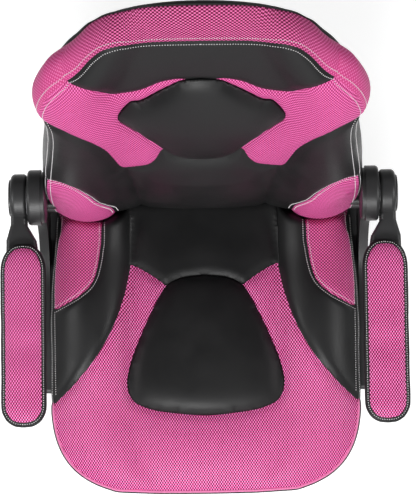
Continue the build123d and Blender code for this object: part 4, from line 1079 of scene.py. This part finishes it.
crease_seams(rear_panel_cover, sewn, 0.4)
finish_soft(rear_panel_cover, "seat", ["back_rear_cover"])
close_below(rear_panel_cover, 0)
print("rear panel:", len(rear_panel_cover.data.vertices), "points")

# %% [markdown]
# ## Arm pads
# Each arm has a long pad, rounded in front and narrowing to the neck behind. Its top is pink mesh in a black
# border. It is made like the cushions, from a flat pattern that lies on the plain pad from the CAD model.

# %% Arm pads
ARM_X = 297.5
ARM_REAR = 80.0
ARM_REAR_ROUND = 46.0
ARM_FRONT = -220.0
ARM_FRONT_ROUND = 36.0
ARM_HALF = 36.0
ARM_POWER = 2.2
ARM_BASE = 633
ARM_BORDER = 6.0


def arm_half(y, inset=0.0):
    """Half width of the arm pad at y, or of its outline moved in by an inset."""
    into = max(0.0, (ARM_FRONT + ARM_FRONT_ROUND - y) / (ARM_FRONT_ROUND - inset),
               (y - ARM_REAR + ARM_REAR_ROUND) / (ARM_REAR_ROUND - inset))
    return (ARM_HALF - inset) * (1 - min(into, 1.0) ** ARM_POWER) ** (1 / ARM_POWER)


def arm_loop(inset):
    rear = ARM_REAR - 0.6 - inset
    front_end = ARM_FRONT + 0.6 + inset
    places = [rear - drop for drop in (1.5, 4, 8, 14, 22, 34, 48)]
    places += [20 - 30 * number for number in range(7)]
    places += [front_end + rise for rise in (30, 20, 12, 7, 3.5, 1.2)]
    return loop_of(curve([(0, rear)] + [(-arm_half(y, inset), y) for y in places] + [(0, front_end)], 4.5))


def arm_pad(name, side, body, node):
    foam = Foam(node, (side * ARM_X, 0, ARM_BASE), (1, 0, 0), (0, 1, 0), (-40, -224), (40, 84), 5)
    outline = arm_loop(0)
    inner = arm_loop(ARM_BORDER)
    flat, triangles, panel_of, sewn, spots = drape(
        foam, outline, [inner], [], 4.5, [([closed(inner)], 7, 1.4), ([closed(outline)], 10, 3.0)]
    )
    ring = rim_of(triangles, closest(flat, (0, ARM_REAR)))
    pad = start_cover(spots, flat, triangles, [1 if panel == 0 else 0 for panel in panel_of])
    foot = [Vector((side * ARM_X * MM + flat[number].x * 0.95 * MM, flat[number].y * MM * 0.995, 0.6336))
            for number in ring]
    last = add_wall(pad, ring, foot, lambda number: 2.5, 6, lambda number: 1)
    piece = new_piece(name, pad, [pink_mesh, edge_leather])
    blow_up(piece, set(sewn) | set(last), 3.0, 3.0)
    crease_seams(piece, sewn, 0.4)
    finish_soft(piece, body, [node])
    close_below(piece, 1)
    print(name, len(piece.data.vertices), "points")
    return piece, inner


left_pad, pad_seam = arm_pad("arm_pad_cover_left", 1, "arm_left", "arm_pad_left")
right_pad, _ = arm_pad("arm_pad_cover_right", -1, "arm_right", "arm_pad_right")

# %% [markdown]
# ## Stitching
# White thread follows most seams in pairs of lines, one on either side. A stitch is a short rounded rod that
# dips into the cover at both ends. One low shape with a few dozen faces is made, and every stitch is a copy of
# it, laid on the finished cover by a ray.

# %% One stitch and the lines of stitching
STITCH_PITCH = 3.9
STITCH_LENGTH = 2.0
STITCH_THICK = 0.78
RAY_REACH = 0.03


def trimming(name, points, faces, finish, body):
    """A smooth piece of one finish that rides on a body."""
    mesh = bpy.data.meshes.new(name)
    mesh.from_pydata(points, [], faces)
    mesh.materials.append(finish)
    mesh.polygons.foreach_set("use_smooth", [True] * len(faces))
    made = bpy.data.objects.new(name, mesh)
    scene.collection.objects.link(made)
    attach(made, body)
    return made


def rod_faces(rings, sides):
    """Faces that join rings of points into a closed rod."""
    faces = []
    for ring in range(rings - 1):
        for side in range(sides):
            after = (side + 1) % sides
            near_side = ring * sides
            far_side = near_side + sides
            faces.append([near_side + side, near_side + after, far_side + after, far_side + side])
    return faces + [list(range(sides))[::-1], list(range(sides * (rings - 1), sides * rings))]


def stitch_shape(length, thick):
    """Rings of a short rod along x, thin at both ends, with its faces."""
    sides = 6
    rings = [(-0.5, 0.35, -0.6), (-0.34, 0.9, 0.1), (0.0, 1.0, 0.35), (0.34, 0.9, 0.1), (0.5, 0.35, -0.6)]
    corners = []
    for along, size, lift in rings:
        for side in range(sides):
            angle = math.tau * side / sides
            corners.append(Vector((along * length, math.cos(angle) * thick * size,
                                   math.sin(angle) * thick * size + lift * thick)))
    return corners, rod_faces(len(rings), sides)


def sew(name, piece, lines, body, pitch=STITCH_PITCH, length=STITCH_LENGTH, thick=STITCH_THICK):
    """Lays stitches on a piece. A line is a list of (start of ray, direction of ray) in metres."""
    skin = skin_of(piece.data)
    shape, shape_faces = stitch_shape(length * MM, thick * MM)
    points = []
    faces = []
    for line in lines:
        hits = []
        for start, way in line:
            spot, normal, _, _ = skin.ray_cast(start, way)
            if spot is not None:
                hits.append((spot, normal))
        for (spot, normal), (ahead, _) in zip(hits[::2], hits[1::2]):
            if (ahead - spot).length > pitch * MM * 1.5:
                continue
            run = (ahead - spot).normalized()
            across = normal.cross(run).normalized()
            turn = Matrix((run, across, run.cross(across))).transposed()
            first = len(points)
            centre = (spot + ahead) / 2
            points += [centre + turn @ corner for corner in shape]
            faces += [[first + corner for corner in face] for face in shape_faces]
    trimming(name, points, faces, white_thread, body)
    print(name, len(faces) // len(shape_faces), "stitches")


def rays_on(foam, line):
    """Rays that fall on the foam along a flat line, two for each stitch."""
    spaced = resample([point.xy for point in line], STITCH_PITCH / 2)
    return [(foam.world(point.x, point.y, 400), -foam.out) for point in spaced]


def rays_on_wall(cover, depth, wanted):
    """Rays that meet a side wall at a depth below its top seam, where wanted(flat point number) is true."""
    lines = []
    line = []
    for number, top, lower, outward in cover["wall"]:
        if wanted(number):
            share = depth * MM / max((lower - top).length, 1e-6)
            line.append((*(top.lerp(lower, share) / MM), *outward))
        elif line:
            lines.append(line)
            line = []
    if line:
        lines.append(line)
    rays = []
    for line in lines:
        spaced = []
        for first, second in zip(line, line[1:]):
            pieces = max(1, round((Vector(second[:3]) - Vector(first[:3])).length / (STITCH_PITCH / 2)))
            step = np.array(second) - np.array(first)
            spaced += [np.array(first) + step * piece / pieces for piece in range(pieces)]
        rays.append([(Vector(mix[:3]) * MM + Vector(mix[3:]) * RAY_REACH, -Vector(mix[3:])) for mix in spaced])
    return rays


STITCH_FRONT = -168
STITCH_REAR = 145
seat_edge = [point.xy for point in seat_left if STITCH_FRONT < point.y < -19 and point.x < -150]
inner_edge = [point for point in insert_inner if point.y < STITCH_REAR]
side_edge = [point for point in insert_side if point.y < STITCH_REAR]
seat_lines = []
for line, offset in ((inner_edge, 4.0), (inner_edge, -5.0), (side_edge, 4.0), (seat_edge, 5.5)):
    seat_lines.append(shifted(line, offset))
    seat_lines.append(mirrored(shifted(line, offset)))
seat_rays = [rays_on(seat_foam, line) for line in seat_lines]
seat_rays += rays_on_wall(
    seat_sewn, 5.0, lambda number: STITCH_FRONT < seat_sewn["points"][number].y / MM < STITCH_REAR
)
sew("seat_stitching", seat_cover, seat_rays, "seat")

# %% Stitching of the back
patch_top = [point for point in patch_edge if point.x > -254 and point.y > 60]
back_edge = [point.xy for point in back_left if point.y > 40]
back_lines = [shifted(patch_top, 4.5), shifted(patch_top, -4.5), shifted(back_edge, 6.5)]
back_lines += [mirrored(line) for line in back_lines]
back_rays = [rays_on(back_foam, line) for line in back_lines]
back_rays += rays_on_wall(back_sewn, 6.5, lambda number: back_flat[number].y > 40)
sew("back_stitching", back_cover, back_rays, "seat")

# %% Stitching of the arm pads
ARM_STITCH = (3.8, 1.9, 0.74)
ARM_STITCH_OUT = 2.6
ABOVE_ARMS = 0.75


def arm_rays(side):
    line = shifted(closed(pad_seam), -ARM_STITCH_OUT if area_of(pad_seam) > 0 else ARM_STITCH_OUT)
    line = resample([point.xy for point in line], ARM_STITCH[0] / 2)
    return [(Vector(((side * ARM_X + point.x) * MM, point.y * MM, ABOVE_ARMS)), Vector((0, 0, -1)))
            for point in line]


sew("arm_stitching_left", left_pad, [arm_rays(1)], "arm_left", *ARM_STITCH)
sew("arm_stitching_right", right_pad, [arm_rays(-1)], "arm_right", *ARM_STITCH)

# %% [markdown]
# ## Welt and piping
# A thin pink welt is sewn into the seam round the seat's front, where the pink top meets the black wall, and a
# black piping lies just under it. Each is a round cord in a strip of fabric, so a tube along the seam stands for
# it. The tube starts as a circle, and the circle is carried along the seam as a chain of rings.

# %% Welt and piping along the front of the seat
CORD_RADIUS = 0.0022
CORD_SIDES = 10
CORD_STEP = 0.006
CORD_END = -0.172


def tube(name, line, finish, body):
    """A closed tube along a line of points in metres."""
    points = []
    for index, point in enumerate(line):
        run = (line[min(index + 1, len(line) - 1)] - line[max(index - 1, 0)]).normalized()
        side = run.cross(Vector((0, 0, 1))).normalized()
        up = side.cross(run)
        size = CORD_RADIUS * (0.35 if index in (0, len(line) - 1) else 1.0)
        for number in range(CORD_SIDES):
            angle = math.tau * number / CORD_SIDES
            points.append(point + side * math.cos(angle) * size + up * math.sin(angle) * size)
    made = trimming(name, points, rod_faces(len(line), CORD_SIDES), finish, body)
    work = bmesh.new()
    work.from_mesh(made.data)
    bmesh.ops.recalc_face_normals(work, faces=work.faces)
    work.to_mesh(made.data)
    work.free()
    print(name, len(made.data.polygons), "faces")


def front_seam(out, down):
    """The seam round the seat's front, moved outwards and down."""
    wall = [(top, outward) for _, top, _, outward in seat_sewn["wall"] if top.y < CORD_END]
    seam = [top + outward * out - Vector((0, 0, down)) for top, outward in wall]
    seam.sort(key=lambda point: math.atan2(point.x, -(point.y + 0.15)))
    return resample(seam, CORD_STEP)


tube("seat_front_welt", front_seam(0.0008, 0), pink_welt, "seat")
tube("seat_front_piping", front_seam(0.0032, 0.006), edge_leather, "seat")

# %% [markdown]
# ## Studio
# A studio photograph of a chair has paper on the floor and soft boxes round it. The floor is white in a pool
# under the chair and greyer outside the picture, so that less of it shows in the leather. One large box stands in
# front and above, two stand at the sides, a low one in front gives the pads their soft upper lights, and a weak
# one stands behind. Together with a dim surrounding they light a surface so that its colour renders about as it
# is written.

# %% Floor and lamps
POOL_EDGE = (0.64, 1.25)
bpy.ops.mesh.primitive_plane_add(size=60, location=(0, 0.12, -0.001))
floor = bpy.context.active_object
floor.name = "studio_floor"
floor_finish, floor_tree, floor_body = new_finish("studio_paper", Roughness=0.9, Emission_Strength=1.0)
distance = Wire.node(floor_tree, "ShaderNodeVectorMath", {"operation": "LENGTH"}, {0: place(floor_tree)}, 1)
outside = distance.step(*POOL_EDGE)
paper = outside.blend((0.93, 0.93, 0.93, 1), (0.34, 0.34, 0.345, 1))
rays = Wire.node(floor_tree, "ShaderNodeLightPath")
seen = rays + rays.output("Is Glossy Ray") + rays.output("Is Transmission Ray")
glow = (seen * (1 - outside * 0.7)).blend((0, 0, 0, 1), (0.42, 0.42, 0.42, 1))
feed(floor_tree, floor_body, "Base Color", paper)
feed(floor_tree, floor_body, "Emission Color", glow)
floor.data.materials.append(floor_finish)

world = scene.world or bpy.data.worlds.new("studio")
scene.world = world
world.use_nodes = True
sky = world.node_tree.nodes["Background"]
sky.inputs["Color"].default_value = (1.0, 1.0, 1.0, 1)
sky.inputs["Strength"].default_value = 0.14


def lamp(name, place_at, target, size, power):
    data = bpy.data.lights.new(name, "AREA")
    data.shape = "DISK"
    data.size = size
    data.energy = power
    made = bpy.data.objects.new(name, data)
    made.location = place_at
    made.rotation_euler = (Vector(target) - Vector(place_at)).to_track_quat("-Z", "Y").to_euler()
    scene.collection.objects.link(made)


SEAT_MIDDLE = (0, -0.1, 0.6)
lamp("front_box", (-0.3, -2.5, 3.0), SEAT_MIDDLE, 1.5, 98)
lamp("left_box", (-2.9, -0.3, 2.4), SEAT_MIDDLE, 1.2, 48)
lamp("right_box", (2.9, -0.3, 2.4), SEAT_MIDDLE, 1.2, 48)
lamp("low_front_box", (0.2, -2.7, 0.95), (0, 0, 0.7), 1.9, 12)
lamp("rear_box", (0.4, 2.6, 3.0), (0, 0.1, 0.6), 1.6, 3)
scene.view_settings.view_transform = "Standard"
print("studio ready")

# %% [markdown]
# ## Camera
# The photograph was taken from high above with a long lens, a few degrees in front of straight down, and the
# camera was rolled by under one degree.

# %% Camera
FOCUS_PIXELS = 2293.0
PHOTO_WIDTH = 416.0
SENSOR_WIDTH = 36.0
CAMERA_AT = (0.007, -0.2576, 4.4)
camera_data = bpy.data.cameras.new("photo_camera")
camera_data.sensor_fit = "HORIZONTAL"
camera_data.sensor_width = SENSOR_WIDTH
camera_data.lens = FOCUS_PIXELS / PHOTO_WIDTH * SENSOR_WIDTH
camera_data.clip_end = 50.0
camera = bpy.data.objects.new("photo_camera", camera_data)
tilt = math.radians(5.0)
roll = math.radians(0.8)
forward = Vector((0, math.sin(tilt), -math.cos(tilt)))
upright = Vector((0, math.cos(tilt), math.sin(tilt)))
right = forward.cross(upright)
turned_up = upright * math.cos(roll) + right * math.sin(roll)
turned_right = forward.cross(turned_up)
camera.matrix_world = Matrix.Translation(CAMERA_AT) @ Matrix((
    (turned_right.x, turned_up.x, -forward.x, 0),
    (turned_right.y, turned_up.y, -forward.y, 0),
    (turned_right.z, turned_up.z, -forward.z, 0),
    (0, 0, 0, 1),
))
scene.collection.objects.link(camera)
scene.camera = camera
print("lens", round(camera_data.lens, 1), "mm")
